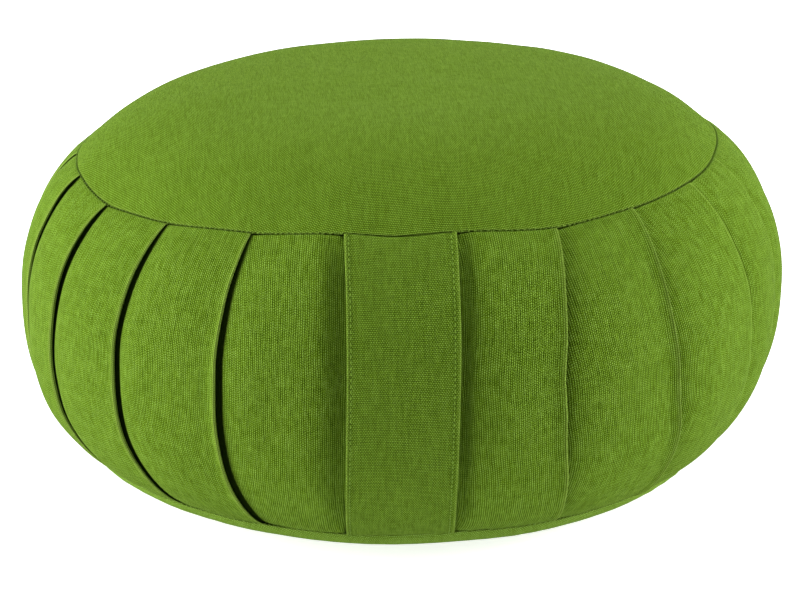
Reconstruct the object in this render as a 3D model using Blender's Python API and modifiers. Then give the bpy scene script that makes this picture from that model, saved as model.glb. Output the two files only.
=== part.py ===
"""Zafu meditation cushion: a firm round cushion with a pleated side and a carry strap.

Sizes are in metres and +Z is up. The strap faces -Y. The origin is the middle of the flat patch
that the cushion rests on.

The cover is cut as two round panels and one long band. The band is folded into knife pleats,
which are sewn flat at both seams and stand open at mid-height, and which all turn the same way
round. The filled band is one closed solid: its pleats, and the filling's own crown and sole
beneath the two panels. The panels and the strap are sheets that lie on it.

An azimuth is an angle round the cushion, in degrees from the front (-Y) towards +X. The side is
measured by its share, from -1 at the bottom seam to 1 at the top seam.
"""

import math
from typing import NamedTuple

import bmesh
import bpy
import numpy as np

# Driving dimensions of the filled cushion
BULGE_RADIUS = 0.1795       # at the widest, a little below mid-height
SEAM_RADIUS = 0.1512        # of both seams
SIDE_HEIGHT = 0.1324        # from the bottom seam up to the top seam
CROWN_RISE = 0.0327         # from the top seam up to the middle of the top
SOLE_RISE = 0.0150          # from the floor up to the bottom seam
REST_RADIUS = 0.1027        # of the flat patch on the floor

# How full the curves are
WIDEST_SHARE = -0.024       # the side's share at which it is widest
SIDE_FULLNESS = 2.41
SIDE_ROUNDNESS = 0.813
CROWN_FULLNESS = 4.5

# Cloth
PANEL_THICKNESS = 0.0016
STRAP_THICKNESS = 0.0020    # two layers of the cloth
STRAP_EDGE_ROUND = 0.0006
PIECE_GAP = 0.0004          # between any two pieces

# One pleat, where it is sewn flat at a seam and where it stands open at mid-height
SEWN_LIP = 0.0006           # thickness of the folded edge
OPEN_LIP = 0.0020
SEWN_MOUTH = 0.00035        # height of the gap under the folded edge
OPEN_MOUTH = 0.0022
SEWN_TUCK = 0.0008          # depth of the gap, back under the fold
OPEN_TUCK = 0.0065
OPENING_SHARPNESS = 0.75    # how soon a pleat opens away from a seam
RISE_SPAN = 0.42            # share of a panel's width over which it comes up from under a fold
PANEL_SWELL = 0.0010        # how far a panel's middle stands out

# Strap
STRAP_X = 0.0008            # its centre line
STRAP_HALF_WIDTH = 0.0235
STRAP_PROUD = 0.0008        # how far its middle stands out of the side
STRAP_PROUD_AT_SEAM = 0.0002
STRAP_FLATNESS = 0.4        # 0 follows the side's curve, 1 is straight across
STRAP_END_SHARE = 0.995     # where it ends, just short of each seam
SEAT_MARGIN = 0.006         # level part of the seat beside the strap
SEAT_SHOULDER = 0.014       # width over which the seat comes back up to the side
TROUGH_DEPTH = 0.0008       # extra depth that the strap's pull leaves along its edges
TROUGH_OFFSET = 0.0035
TROUGH_WIDTH = 0.008

# Seams
EDGE_SHARE = 0.99           # the side's last row before each seam
EDGE_TURN = 0.0004          # how far the cloth's turned edge is inside the seam

# Fineness: the filling's rings lie under every second or so of the panels' rings
TURN_STEPS = 66
SIDE_ROWS = 12
SIDE_ROW_CROWDING = 0.35    # 0 spaces the side's rows evenly, 1 crowds them at the seams
STRAP_ROWS = 22
STRAP_COLUMNS = 6
CROWN_SHARES = (0.25, 0.45, 0.6, 0.72, 0.82, 0.9, 0.96, 1.0)
SOLE_SHARES = (0.0, 0.2, 0.4, 0.6, 0.8, 1.0)
FILLING_CROWN_SHARES = (0.9, 0.72, 0.45, 0.25)
FILLING_SOLE_SHARES = (0.0, 0.4, 0.8)
PANEL_POINTS = (0.13, 0.28, 0.44, 0.66, 0.88)   # across each panel of the band, between folds

LEAN = 0.0029               # how much higher the +X side of the top seam is than its middle


class Fold(NamedTuple):
    """One pleat's folded edge: where it starts, how it runs down the side, how far it opens."""

    azimuth: float          # at the top seam
    twist: float            # from the top seam to the bottom seam
    bow: float              # at mid-height
    opening: float          # share of the full lip, mouth and tuck


class GapPoint(NamedTuple):
    """A point of the gap under a fold, in shares of the gap's own sizes."""

    around_lip: float       # distance round from the fold, in lips
    around_tuck: float      # the same, in tucks, added to it
    deep_lip: float         # depth, in lips
    deep_mouth: float       # the same, in mouths, added to it


class Wave(NamedTuple):
    """How far a seam strays from its circle at one azimuth."""

    azimuth: float
    rise: float
    reach: float


FRONT_FOLDS = (
    Fold(azimuth=-87.0, twist=1.0, bow=-3.0, opening=1.0),
    Fold(azimuth=-70.5, twist=-1.5, bow=-3.2, opening=1.0),
    Fold(azimuth=-55.5, twist=-2.0, bow=-2.8, opening=1.0),
    Fold(azimuth=-38.8, twist=-0.6, bow=-3.1, opening=1.0),
    Fold(azimuth=-23.8, twist=1.6, bow=-2.1, opening=1.1),
    Fold(azimuth=-6.6, twist=0.0, bow=0.3, opening=0.2),
    Fold(azimuth=6.9, twist=0.0, bow=-0.5, opening=0.35),
    Fold(azimuth=25.2, twist=1.6, bow=-3.4, opening=0.9),
    Fold(azimuth=40.2, twist=4.4, bow=-1.7, opening=0.9),
    Fold(azimuth=57.0, twist=6.0, bow=-0.5, opening=0.9),
    Fold(azimuth=72.5, twist=4.5, bow=-1.5, opening=1.0),
    Fold(azimuth=89.2, twist=2.0, bow=-2.5, opening=1.0),
)
BACK_FOLDS = 10
BACK_BOW = -2.4
BACK_TWIST = 1.0
BACK_FOLD_SPREAD = 0.9      # unevenness of the back folds, in degrees

# Over the folded edge, back under it to the root of the gap, and out again on the next panel
GAP_POINTS = (
    GapPoint(around_lip=-0.6, around_tuck=0.0, deep_lip=0.12, deep_mouth=0.0),
    GapPoint(around_lip=0.0, around_tuck=0.0, deep_lip=0.5, deep_mouth=0.0),
    GapPoint(around_lip=-0.6, around_tuck=0.0, deep_lip=0.95, deep_mouth=0.0),
    GapPoint(around_lip=0.0, around_tuck=-1.0, deep_lip=1.05, deep_mouth=0.1),
    GapPoint(around_lip=0.0, around_tuck=-1.0, deep_lip=1.05, deep_mouth=0.7),
    GapPoint(around_lip=0.0, around_tuck=-0.4, deep_lip=1.0, deep_mouth=0.9),
    GapPoint(around_lip=0.3, around_tuck=0.0, deep_lip=1.0, deep_mouth=1.0),
)
CLOSED_GAP_SPREAD = 0.002   # the same points laid flat round a ring, inside a seam
HALF_FOLDED = 0.6           # how far the pleats are still folded at the turned edge

TOP_SEAM_WAVES = (
    Wave(azimuth=-180, rise=-0.0013, reach=0.0),
    Wave(azimuth=-110, rise=-0.0004, reach=0.0),
    Wave(azimuth=-78, rise=0.0006, reach=0.0),
    Wave(azimuth=-57, rise=-0.0033, reach=0.0006),
    Wave(azimuth=-45, rise=-0.0020, reach=0.0004),
    Wave(azimuth=-25, rise=0.0005, reach=0.0),
    Wave(azimuth=-9, rise=0.0025, reach=0.0),
    Wave(azimuth=0, rise=0.0017, reach=0.0),
    Wave(azimuth=9, rise=0.0025, reach=0.0),
    Wave(azimuth=26, rise=0.0001, reach=0.0),
    Wave(azimuth=42, rise=0.0014, reach=0.0),
    Wave(azimuth=60, rise=0.0028, reach=-0.0006),
    Wave(azimuth=80, rise=0.0028, reach=-0.0028),
    Wave(azimuth=120, rise=-0.0002, reach=0.0),
    Wave(azimuth=180, rise=-0.0013, reach=0.0),
)
BOTTOM_SEAM_WAVES = (
    Wave(azimuth=-180, rise=0.0, reach=0.0),
    Wave(azimuth=-65, rise=-0.0004, reach=0.0),
    Wave(azimuth=-34, rise=-0.0014, reach=0.0),
    Wave(azimuth=-22, rise=-0.0005, reach=0.0),
    Wave(azimuth=-6, rise=0.0002, reach=0.0),
    Wave(azimuth=10, rise=0.0013, reach=0.0),
    Wave(azimuth=24, rise=0.0001, reach=0.0),
    Wave(azimuth=38, rise=-0.0008, reach=0.0),
    Wave(azimuth=90, rise=0.0, reach=0.0),
    Wave(azimuth=180, rise=0.0, reach=0.0),
)

COVER_GREEN = (0.165, 0.270, 0.030)
STRAP_GREEN = (0.150, 0.250, 0.030)
CLOTH_ROUGHNESS = 0.92


def smooth(share):
    """Ease from 0 to 1, level at both ends."""
    share = np.clip(share, 0.0, 1.0)
    return share * share * (3.0 - 2.0 * share)


# The plain turned form


def side_profile(share):
    """Radius and height of the side."""
    above = (share - WIDEST_SHARE) / (1.0 - WIDEST_SHARE)
    below = (share - WIDEST_SHARE) / (1.0 + WIDEST_SHARE)
    reach = np.abs(np.where(share > WIDEST_SHARE, above, below))
    swell = np.maximum(1.0 - reach**SIDE_FULLNESS, 0.0) ** SIDE_ROUNDNESS
    radius = SEAM_RADIUS + (BULGE_RADIUS - SEAM_RADIUS) * swell
    height = SOLE_RISE + SIDE_HEIGHT * (share + 1.0) / 2.0
    return radius, height


def side_normal(share):
    """Outward unit normal of the side, as a radial and an upward part."""
    step = 0.001
    radius_above, height_above = side_profile(share + step)
    radius_below, height_below = side_profile(share - step)
    run = radius_above - radius_below
    climb = height_above - height_below
    length = np.hypot(run, climb)
    return climb / length, -run / length


def crown_profile(share):
    """Radius and height of the top, from its middle (0) to the seam (1), and its normal."""
    radius = SEAM_RADIUS * share
    height = SOLE_RISE + SIDE_HEIGHT + CROWN_RISE * (1.0 - share**CROWN_FULLNESS)
    slope = CROWN_RISE * CROWN_FULLNESS * share ** (CROWN_FULLNESS - 1.0) / SEAM_RADIUS
    length = np.hypot(slope, 1.0)
    return radius, height, slope / length, 1.0 / length


def sole_profile(share):
    """Radius and height of the underside, from the flat patch's rim (0) to the seam (1)."""
    turn = 0.5 * math.pi * share
    span = SEAM_RADIUS - REST_RADIUS
    radius = REST_RADIUS + span * np.sin(turn)
    height = SOLE_RISE * (1.0 - np.cos(turn))
    out = SOLE_RISE * np.sin(turn)
    down = span * np.cos(turn)
    length = np.hypot(out, down)
    return radius, height, out / length, -down / length


# Unevenness of the real, sewn form


def wave_at(rows, column, azimuth):
    """Read one column of a seam's waves at any azimuth, smoothly from row to row."""
    table = np.array(rows)
    knots = table[:, 0]
    values = table[:, Wave._fields.index(column)]
    row = np.clip(np.searchsorted(knots, azimuth, side="right") - 1, 0, len(knots) - 2)
    ease = smooth((azimuth - knots[row]) / (knots[row + 1] - knots[row]))
    return values[row] * (1.0 - ease) + values[row + 1] * ease


def settle(points):
    """Move points of the plain turned form to where they lie on the sewn cushion.

    The top seam leans and waves, which dies out down the side and towards the middle of the
    top. The bottom seam waves, which dies out up the side and at the flat patch.
    """
    x, y, z = np.asarray(points).T
    radius = np.hypot(x, y)
    azimuth = np.degrees(np.arctan2(x, -y))
    up = np.clip((z - SOLE_RISE) / SIDE_HEIGHT, 0.0, 1.0)
    out = np.clip(radius / SEAM_RADIUS, 0.0, 1.0)
    off_patch = np.clip((radius - REST_RADIUS) / (SEAM_RADIUS - REST_RADIUS), 0.0, 1.0)
    lift = LEAN * np.sin(np.radians(azimuth)) * up * out
    lift = lift + wave_at(TOP_SEAM_WAVES, "rise", azimuth) * up**2 * out**3
    lift = lift + wave_at(BOTTOM_SEAM_WAVES, "rise", azimuth) * (1.0 - up) ** 2 * off_patch**3
    spread = wave_at(TOP_SEAM_WAVES, "reach", azimuth) * up**6 * out**3
    scale = 1.0 + spread / np.maximum(radius, SEAM_RADIUS / 2.0)
    return np.column_stack((x * scale, y * scale, z + lift))


def turned(radius, azimuth, height):
    """Points at a radius, an azimuth and a height."""
    angle = np.radians(azimuth)
    height = np.broadcast_to(height, np.shape(angle))
    return np.column_stack((radius * np.sin(angle), -radius * np.cos(angle), height))


# The strap and the seat it presses into the side


def strap_depth(x, share):
    """Depth of the strap's outer face inside the plain side, less than 0 where it is proud."""
    proud = STRAP_PROUD_AT_SEAM + (STRAP_PROUD - STRAP_PROUD_AT_SEAM) * (1.0 - share**2)
    across = np.clip(x - STRAP_X, -STRAP_HALF_WIDTH, STRAP_HALF_WIDTH)
    return -proud - STRAP_FLATNESS * across**2 / (2.0 * BULGE_RADIUS)


def seat_cover(x):
    """1 under the strap and on the level part beside it, easing to 0 on the side."""
    beside = np.abs(x - STRAP_X) - STRAP_HALF_WIDTH - SEAT_MARGIN
    return 1.0 - smooth(beside / SEAT_SHOULDER)


def seat_depth(x, share):
    """Depth of the seat pressed into the side, with a trough along each edge of the strap."""
    level = strap_depth(x, share) + STRAP_THICKNESS + PIECE_GAP
    from_trough = np.abs(x - STRAP_X) - STRAP_HALF_WIDTH - TROUGH_OFFSET
    trough = TROUGH_DEPTH * (1.0 - share**2) * (1.0 - smooth(np.abs(from_trough) / TROUGH_WIDTH))
    return (level + trough) * seat_cover(x)


# The pleated band


def fold_table():
    """All folds round the cushion, as columns in the order of Fold's fields."""
    first = FRONT_FOLDS[0].azimuth + 360.0
    last = FRONT_FOLDS[-1].azimuth
    spacing = (first - last) / (BACK_FOLDS + 1)
    uneven = np.random.default_rng(3)
    back = []
    for index in range(BACK_FOLDS):
        azimuth = last + spacing * (index + 1) + uneven.uniform(-1.0, 1.0) * BACK_FOLD_SPREAD
        twist = BACK_TWIST + uneven.uniform(-2.0, 2.0) * BACK_FOLD_SPREAD
        bow = BACK_BOW + uneven.uniform(-1.0, 1.0) * BACK_FOLD_SPREAD
        back.append(Fold(azimuth, twist, bow, opening=1.0))
    return np.array(FRONT_FOLDS + tuple(back)).T


def pleat_gaps(openness, opening):
    """The gap under each fold: distances round from the fold, depths, and the step at its mouth."""
    lip = (SEWN_LIP + (OPEN_LIP - SEWN_LIP) * openness) * opening
    mouth = (SEWN_MOUTH + (OPEN_MOUTH - SEWN_MOUTH) * openness) * opening
    tuck = (SEWN_TUCK + (OPEN_TUCK - SEWN_TUCK) * openness) * opening
    around_lip, around_tuck, deep_lip, deep_mouth = np.array(GAP_POINTS).T
    around = np.outer(lip, around_lip) + np.outer(tuck, around_tuck)
    depth = np.outer(lip, deep_lip) + np.outer(mouth, deep_mouth)
    return around, depth, lip + mouth


def band_ring(folds, share, inner_step, folded):
    """One ring of the band.

    inner_step is how far the ring is moved along (radius, height) from the side at this share,
    and folded is 1 on the open side and 0 where the pleats are gone, inside a seam.
    """
    azimuth, twist, bow, opening = folds
    radius, height = side_profile(share)
    normal_out, normal_up = side_normal(np.clip(share, -EDGE_SHARE, EDGE_SHARE))
    openness = (1.0 - share**2) ** OPENING_SHARPNESS
    fold = azimuth + twist * (1.0 - share) / 2.0 + bow * (1.0 - share**2)
    next_fold = np.append(fold[1:], fold[0] + 360.0)
    around, depth, step = pleat_gaps(openness, opening)
    laid_flat = np.linspace(-0.5, 0.5, len(GAP_POINTS)) * CLOSED_GAP_SPREAD
    around = around * folded + laid_flat * (1.0 - folded)
    gap_azimuth = fold[:, None] + np.degrees(around / radius)
    across = np.array(PANEL_POINTS)
    panel_azimuth = fold[:, None] + np.outer(next_fold - fold, across)
    panel_depth = np.outer(step, 1.0 - smooth(across / RISE_SPAN))
    swell = PANEL_SWELL * (1.0 - share**2) * np.sin(math.pi * across)
    ring_azimuth = np.hstack((gap_azimuth, panel_azimuth)).ravel()
    ring_depth = np.hstack((depth, panel_depth)).ravel() * folded
    ring_swell = np.hstack((np.zeros_like(depth), np.tile(swell, (len(fold), 1)))).ravel()
    x = radius * np.sin(np.radians(ring_azimuth))
    at_front = np.cos(np.radians(ring_azimuth)) > 0.0
    cover = np.where(at_front, seat_cover(x), 0.0)
    seat = np.where(at_front, seat_depth(x, share), 0.0) * min(folded / HALF_FOLDED, 1.0)
    ring_depth = ring_depth + seat - ring_swell * (1.0 - cover)
    ring_radius = radius + inner_step[0] - ring_depth * normal_out
    ring_height = height + inner_step[1] - ring_depth * normal_up
    return turned(ring_radius, ring_azimuth, ring_height)


def plain_ring(radius, height):
    """A ring of the crown or the sole."""
    azimuth = np.arange(TURN_STEPS) * 360.0 / TURN_STEPS
    return turned(radius, azimuth, height)


def inside(profile, share, depth):
    """Radius and height at a depth inside a profile."""
    radius, height, normal_out, normal_up = profile(share)
    return radius - depth * normal_out, height - depth * normal_up


def band_rings():
    """The band's rings from its sole to its crown."""
    folds = fold_table()
    under = PANEL_THICKNESS + PIECE_GAP
    _, _, crown_out, crown_up = crown_profile(1.0)
    normal = np.array((crown_out, crown_up))
    away = np.array((crown_up, -crown_out)) * PIECE_GAP
    rings = []
    for share in FILLING_SOLE_SHARES:
        radius, height = inside(sole_profile, share, under)
        rings.append(plain_ring(radius, height))
    for depth, folded in ((under, 0.0), (EDGE_TURN, HALF_FOLDED)):
        rings.append(band_ring(folds, -1.0, np.array((-depth, PIECE_GAP)), folded))
    even = np.linspace(-1.0, 1.0, SIDE_ROWS)
    crowded = even + SIDE_ROW_CROWDING * (np.sin(0.5 * math.pi * even) - even)
    for share in EDGE_SHARE * crowded:
        rings.append(band_ring(folds, share, np.zeros(2), 1.0))
    for depth, folded in ((EDGE_TURN, HALF_FOLDED), (under, 0.0)):
        rings.append(band_ring(folds, 1.0, away - normal * depth, folded))
    for share in FILLING_CROWN_SHARES:
        radius, height = inside(crown_profile, share, under)
        rings.append(plain_ring(radius, height))
    middle_height = crown_profile(0.0)[1]
    poles = (np.array((0.0, 0.0, under)), np.array((0.0, 0.0, middle_height - under)))
    return rings, poles


def zip_rings(lower, upper, lower_points, upper_points):
    """Join two rings with unlike numbers of points by triangles, in order of azimuth."""

    def unrolled(points, start):
        angle = np.arctan2(points[:, 0], -points[:, 1])
        return np.mod(angle - start, 2.0 * math.pi)

    start = math.atan2(lower_points[0][0], -lower_points[0][1]) - 1e-9
    lower_angle = unrolled(lower_points, start)
    upper_angle = unrolled(upper_points, start)
    first = int(np.argmin(upper_angle))
    upper = list(np.roll(upper, -first))
    upper_angle = np.roll(upper_angle, -first)
    lower = list(lower) + [lower[0]]
    upper = upper + [upper[0]]
    lower_angle = np.append(lower_angle, lower_angle[0] + 2.0 * math.pi)
    upper_angle = np.append(upper_angle, upper_angle[0] + 2.0 * math.pi)
    faces = []
    low = 0
    high = 0
    while low < len(lower) - 1 or high < len(upper) - 1:
        low_left = low < len(lower) - 1
        high_left = high < len(upper) - 1
        if low_left and (not high_left or lower_angle[low + 1] <= upper_angle[high + 1]):
            faces.append((lower[low], lower[low + 1], upper[high]))
            low += 1
        else:
            faces.append((lower[low], upper[high + 1], upper[high]))
            high += 1
    return faces


def loft(rings, poles):
    """Close a stack of rings, bottom to top, between two poles."""
    points = np.vstack((poles[0][None], *rings, poles[1][None]))
    starts = np.cumsum([1] + [len(ring) for ring in rings])
    loops = [list(range(start, start + len(ring))) for start, ring in zip(starts, rings)]
    faces = []
    bottom, top = loops[0], loops[-1]
    for here, following in zip(bottom, bottom[1:] + bottom[:1]):
        faces.append((0, following, here))
    for index in range(len(rings) - 1):
        lower, upper = loops[index], loops[index + 1]
        if len(lower) == len(upper):
            quads = zip(lower, lower[1:] + lower[:1], upper[1:] + upper[:1], upper)
            faces.extend(quads)
        else:
            faces.extend(zip_rings(lower, upper, rings[index], rings[index + 1]))
    for here, following in zip(top, top[1:] + top[:1]):
        faces.append((here, following, len(points) - 1))
    return points, faces


# Objects


def make_material(name, color):
    """A rough woven cloth of one colour."""
    material = bpy.data.materials.new(name)
    material.use_nodes = True
    shader = material.node_tree.nodes["Principled BSDF"]
    shader.inputs["Base Color"].default_value = (*color, 1.0)
    shader.inputs["Roughness"].default_value = CLOTH_ROUGHNESS
    shader.inputs["Metallic"].default_value = 0.0
    return material


def add_object(collection, name, points, faces, material):
    """A named object of the collection, made from points and faces."""
    mesh = bpy.data.meshes.new(name)
    mesh.from_pydata([tuple(point) for point in points], [], faces)
    mesh.materials.append(material)
    mesh.shade_smooth()
    piece = bpy.data.objects.new(name, mesh)
    collection.objects.link(piece)
    return piece


def make_band(collection, material):
    """The filled, pleated band."""
    rings, poles = band_rings()
    points, faces = loft(rings, poles)
    return add_object(collection, "pleated_band", settle(points), faces, material)


def make_round_panel(collection, name, profile, shares, crown, material):
    """A round sheet: its profile, out on one face and back on the other, turned about Z."""
    outer = [inside(profile, share, 0.0) for share in shares]
    inner = [inside(profile, share, PANEL_THICKNESS) for share in shares]
    outer.insert(0, (0.0, outer[0][1]))
    inner.insert(0, (0.0, inner[0][1]))
    section = outer + inner[::-1] if crown else inner + outer[::-1]
    edges = [(index, index + 1) for index in range(len(section) - 1)]
    points = [(radius, 0.0, height) for radius, height in section]
    mesh = bpy.data.meshes.new(name + "_section")
    mesh.from_pydata(points, edges, [])
    turned_section = bpy.data.objects.new(name + "_section", mesh)
    collection.objects.link(turned_section)
    screw = turned_section.modifiers.new("turn", "SCREW")
    screw.axis = "Z"
    screw.angle = 2.0 * math.pi
    screw.steps = TURN_STEPS
    screw.render_steps = TURN_STEPS
    screw.use_merge_vertices = True
    screw.merge_threshold = 0.00001
    bpy.context.view_layer.update()
    seen = turned_section.evaluated_get(bpy.context.evaluated_depsgraph_get())
    whole = bmesh.new()
    whole.from_mesh(seen.to_mesh())
    bmesh.ops.remove_doubles(whole, verts=whole.verts, dist=0.00001)
    points = np.array([vertex.co for vertex in whole.verts])
    faces = [[vertex.index for vertex in face.verts] for face in whole.faces]
    whole.free()
    bpy.data.objects.remove(turned_section)
    bpy.data.meshes.remove(mesh)
    return add_object(collection, name, settle(points), faces, material)


def make_strap(collection, material):
    """The strap: its outer face on a grid, made solid towards the side, with rounded edges."""
    share = np.linspace(-STRAP_END_SHARE, STRAP_END_SHARE, STRAP_ROWS + 1)
    x = STRAP_X + STRAP_HALF_WIDTH * np.linspace(-1.0, 1.0, STRAP_COLUMNS + 1)
    share, x = (grid.ravel() for grid in np.meshgrid(share, x, indexing="ij"))
    radius, height = side_profile(share)
    normal_out, normal_up = side_normal(share)
    azimuth = np.degrees(np.arcsin(x / radius))
    depth = strap_depth(x, share)
    points = turned(radius - depth * normal_out, azimuth, height - depth * normal_up)
    columns = STRAP_COLUMNS + 1
    faces = []
    for row in range(STRAP_ROWS):
        for column in range(STRAP_COLUMNS):
            corner = row * columns + column
            faces.append((corner, corner + 1, corner + 1 + columns, corner + columns))
    strap = add_object(collection, "handle_strap", settle(points), faces, material)
    solid = strap.modifiers.new("thickness", "SOLIDIFY")
    solid.thickness = STRAP_THICKNESS
    solid.offset = -1.0
    rounded = strap.modifiers.new("rolled_edges", "BEVEL")
    rounded.width = STRAP_EDGE_ROUND
    rounded.segments = 1
    rounded.limit_method = "ANGLE"
    rounded.angle_limit = math.radians(60.0)
    return strap


def main():
    """Clear the scene and build the cushion."""
    for leftover in list(bpy.data.objects):
        bpy.data.objects.remove(leftover, do_unlink=True)
    collection = bpy.data.collections.new("zafu_cushion")
    bpy.context.scene.collection.children.link(collection)
    make_band(collection, make_material("band_cloth", COVER_GREEN))
    panel_cloth = make_material("panel_cloth", COVER_GREEN)
    sole_cloth = make_material("sole_cloth", COVER_GREEN)
    make_round_panel(collection, "top_panel", crown_profile, CROWN_SHARES, True, panel_cloth)
    make_round_panel(collection, "bottom_panel", sole_profile, SOLE_SHARES, False, sole_cloth)
    make_strap(collection, make_material("strap_cloth", STRAP_GREEN))


main()
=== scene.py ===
"""Zafu meditation cushion, dressed for its picture: cloth, pleats, strap and stitching.

Sizes are in metres, in the part's own frame: +Z is up, the strap faces -Y, and the origin is the
middle of the flat patch that the cushion rests on. An azimuth is an angle round the cushion, in
degrees from the front (-Y) towards +X. The side is measured by its share, from -1 at the bottom
seam to 1 at the top seam. Every surface is a grid of two parameters, worked out as whole arrays.
"""

import logging
import math
from dataclasses import dataclass, field, replace
from enum import Enum
from functools import cached_property
from typing import NamedTuple

import bpy
import numpy as np
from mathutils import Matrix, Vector


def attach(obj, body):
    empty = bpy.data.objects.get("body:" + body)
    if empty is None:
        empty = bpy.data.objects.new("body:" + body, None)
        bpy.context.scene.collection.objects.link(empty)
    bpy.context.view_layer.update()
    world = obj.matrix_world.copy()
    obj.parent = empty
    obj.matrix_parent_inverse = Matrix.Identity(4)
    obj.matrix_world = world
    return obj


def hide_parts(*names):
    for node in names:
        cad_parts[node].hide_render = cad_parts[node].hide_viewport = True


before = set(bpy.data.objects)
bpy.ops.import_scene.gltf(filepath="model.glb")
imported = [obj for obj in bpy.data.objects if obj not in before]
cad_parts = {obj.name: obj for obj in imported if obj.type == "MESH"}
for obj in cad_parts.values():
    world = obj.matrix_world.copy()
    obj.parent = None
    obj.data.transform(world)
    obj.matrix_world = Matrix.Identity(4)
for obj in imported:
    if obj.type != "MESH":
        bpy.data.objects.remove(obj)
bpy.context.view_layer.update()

log = logging.getLogger("zafu")
Array = np.ndarray
Color = tuple[float, float, float]
Piece = bpy.types.Object
Socket = bpy.types.NodeSocket
WEAVE_MAP = "weave"
WEAR_AND_PAINTED_LIGHT = "wear_and_painted_light"
WHITE = (1.0, 1.0, 1.0, 1.0)
QUAD = ((0, 0), (0, 1), (1, 1), (1, 0))


# Helpers


def ease(share: Array) -> Array:
    """Ease from 0 to 1, level at both ends: 3 s^2 - 2 s^3."""
    share = np.clip(share, 0.0, 1.0)
    return share * share * (3.0 - 2.0 * share)


def crowded(count: int, crowding: float) -> Array:
    """Values from -1 to 1 that lie closer together at both ends.

    Args:
        count: how many values.
        crowding: 0 spaces them evenly, 1 as the sine of an even spacing.

    Returns:
        The values, lowest first.
    """
    even = np.linspace(-1.0, 1.0, count)
    return even + crowding * (np.sin(0.5 * math.pi * even) - even)


def turned(radius: Array, azimuth: Array, height: Array) -> Array:
    """Points turned round the Z axis: (r sin a, -r cos a, h).

    Args:
        radius: distance from the axis.
        azimuth: in degrees.
        height: height above the floor.

    Returns:
        Points of (..., 3).
    """
    angle = np.radians(azimuth)
    parts = np.broadcast_arrays(radius * np.sin(angle), -radius * np.cos(angle), height)
    return np.stack(parts, axis=-1)


def new_piece(
    name: str,
    points: Array,
    corners: Array,
    sizes: Array,
    cloth: Array,
    wear_and_painted_light: Array | None = None,
) -> Piece:
    """Put points and faces into a mesh as whole arrays.

    Args:
        name: name of the object.
        points: points of (count, 3).
        corners: the faces' points, face after face.
        sizes: how many corners each face has.
        cloth: place on the cloth of each corner, in metres.
        wear_and_painted_light: above 0 the scuffing and painted highlight, below 0 the painted shade, at
            each point.

    Returns:
        The object, linked to the scene.
    """
    mesh = bpy.data.meshes.new(name)
    mesh.vertices.add(len(points))
    mesh.vertices.foreach_set("co", points.astype(np.float32).ravel())
    mesh.loops.add(len(corners))
    mesh.loops.foreach_set("vertex_index", corners.astype(np.int32))
    mesh.polygons.add(len(sizes))
    starts = np.cumsum(sizes) - sizes
    mesh.polygons.foreach_set("loop_start", starts.astype(np.int32))
    mesh.update(calc_edges=True)
    layer = mesh.uv_layers.new(name=WEAVE_MAP)
    layer.uv.foreach_set("vector", cloth.astype(np.float32).ravel())
    if wear_and_painted_light is not None:
        painted_light_and_wear = mesh.attributes.new(WEAR_AND_PAINTED_LIGHT, "FLOAT", "POINT")
        painted_light_and_wear.data.foreach_set("value", wear_and_painted_light.astype(np.float32))
    mesh.shade_smooth()
    piece = bpy.data.objects.new(name, mesh)
    bpy.context.scene.collection.objects.link(piece)
    return piece


def closed_mesh(
    name: str, grid: Array, ends: tuple[Array, Array], weave: Array, wear_and_painted_light: Array
) -> Piece:
    """Make one closed mesh from a grid whose columns wrap round, with a fan at both ends.

    Face (r, c) joins the points (r, c), (r, c + 1), (r + 1, c + 1) and (r + 1, c).

    Args:
        name: name of the object.
        grid: points, rows by columns by 3.
        ends: the two points that close the first and the last row.
        weave: place on the cloth in metres, rows by (columns + 1) by 2. The last column is the
            first one again, as the cloth reaches it from the other side.
        wear_and_painted_light: above 0 the scuffing and painted highlight, below 0 the painted shade,
            rows by columns.

    Returns:
        The object, linked to the scene.
    """
    rows, columns, _ = grid.shape
    row, column = (index.ravel() for index in np.mgrid[0 : rows - 1, 0:columns])
    quads = np.column_stack(
        [(row + down) * columns + (column + along) % columns for down, along in QUAD]
    )
    quad_weave = np.stack([weave[row + down, column + along] for down, along in QUAD], axis=1)

    spoke = np.arange(columns)
    next_spoke = (spoke + 1) % columns
    last_row = (rows - 1) * columns
    low_end = np.full(columns, rows * columns)
    low_fan = np.column_stack((low_end, next_spoke, spoke))
    high_fan = np.column_stack((low_end + 1, last_row + spoke, last_row + next_spoke))
    middle = np.zeros((columns, 2))
    low_weave = np.stack((middle, weave[0, 1:], weave[0, :-1]), axis=1)
    high_weave = np.stack((middle, weave[-1, :-1], weave[-1, 1:]), axis=1)

    points = np.vstack((grid.reshape(-1, 3), np.array(ends)))
    corners = np.concatenate((quads.ravel(), low_fan.ravel(), high_fan.ravel()))
    sizes = np.concatenate((np.full(len(quads), 4), np.full(2 * columns, 3)))
    cloth = np.vstack([part.reshape(-1, 2) for part in (quad_weave, low_weave, high_weave)])
    return new_piece(name, points, corners, sizes, cloth, np.append(wear_and_painted_light.ravel(), (0.0, 0.0)))


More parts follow.
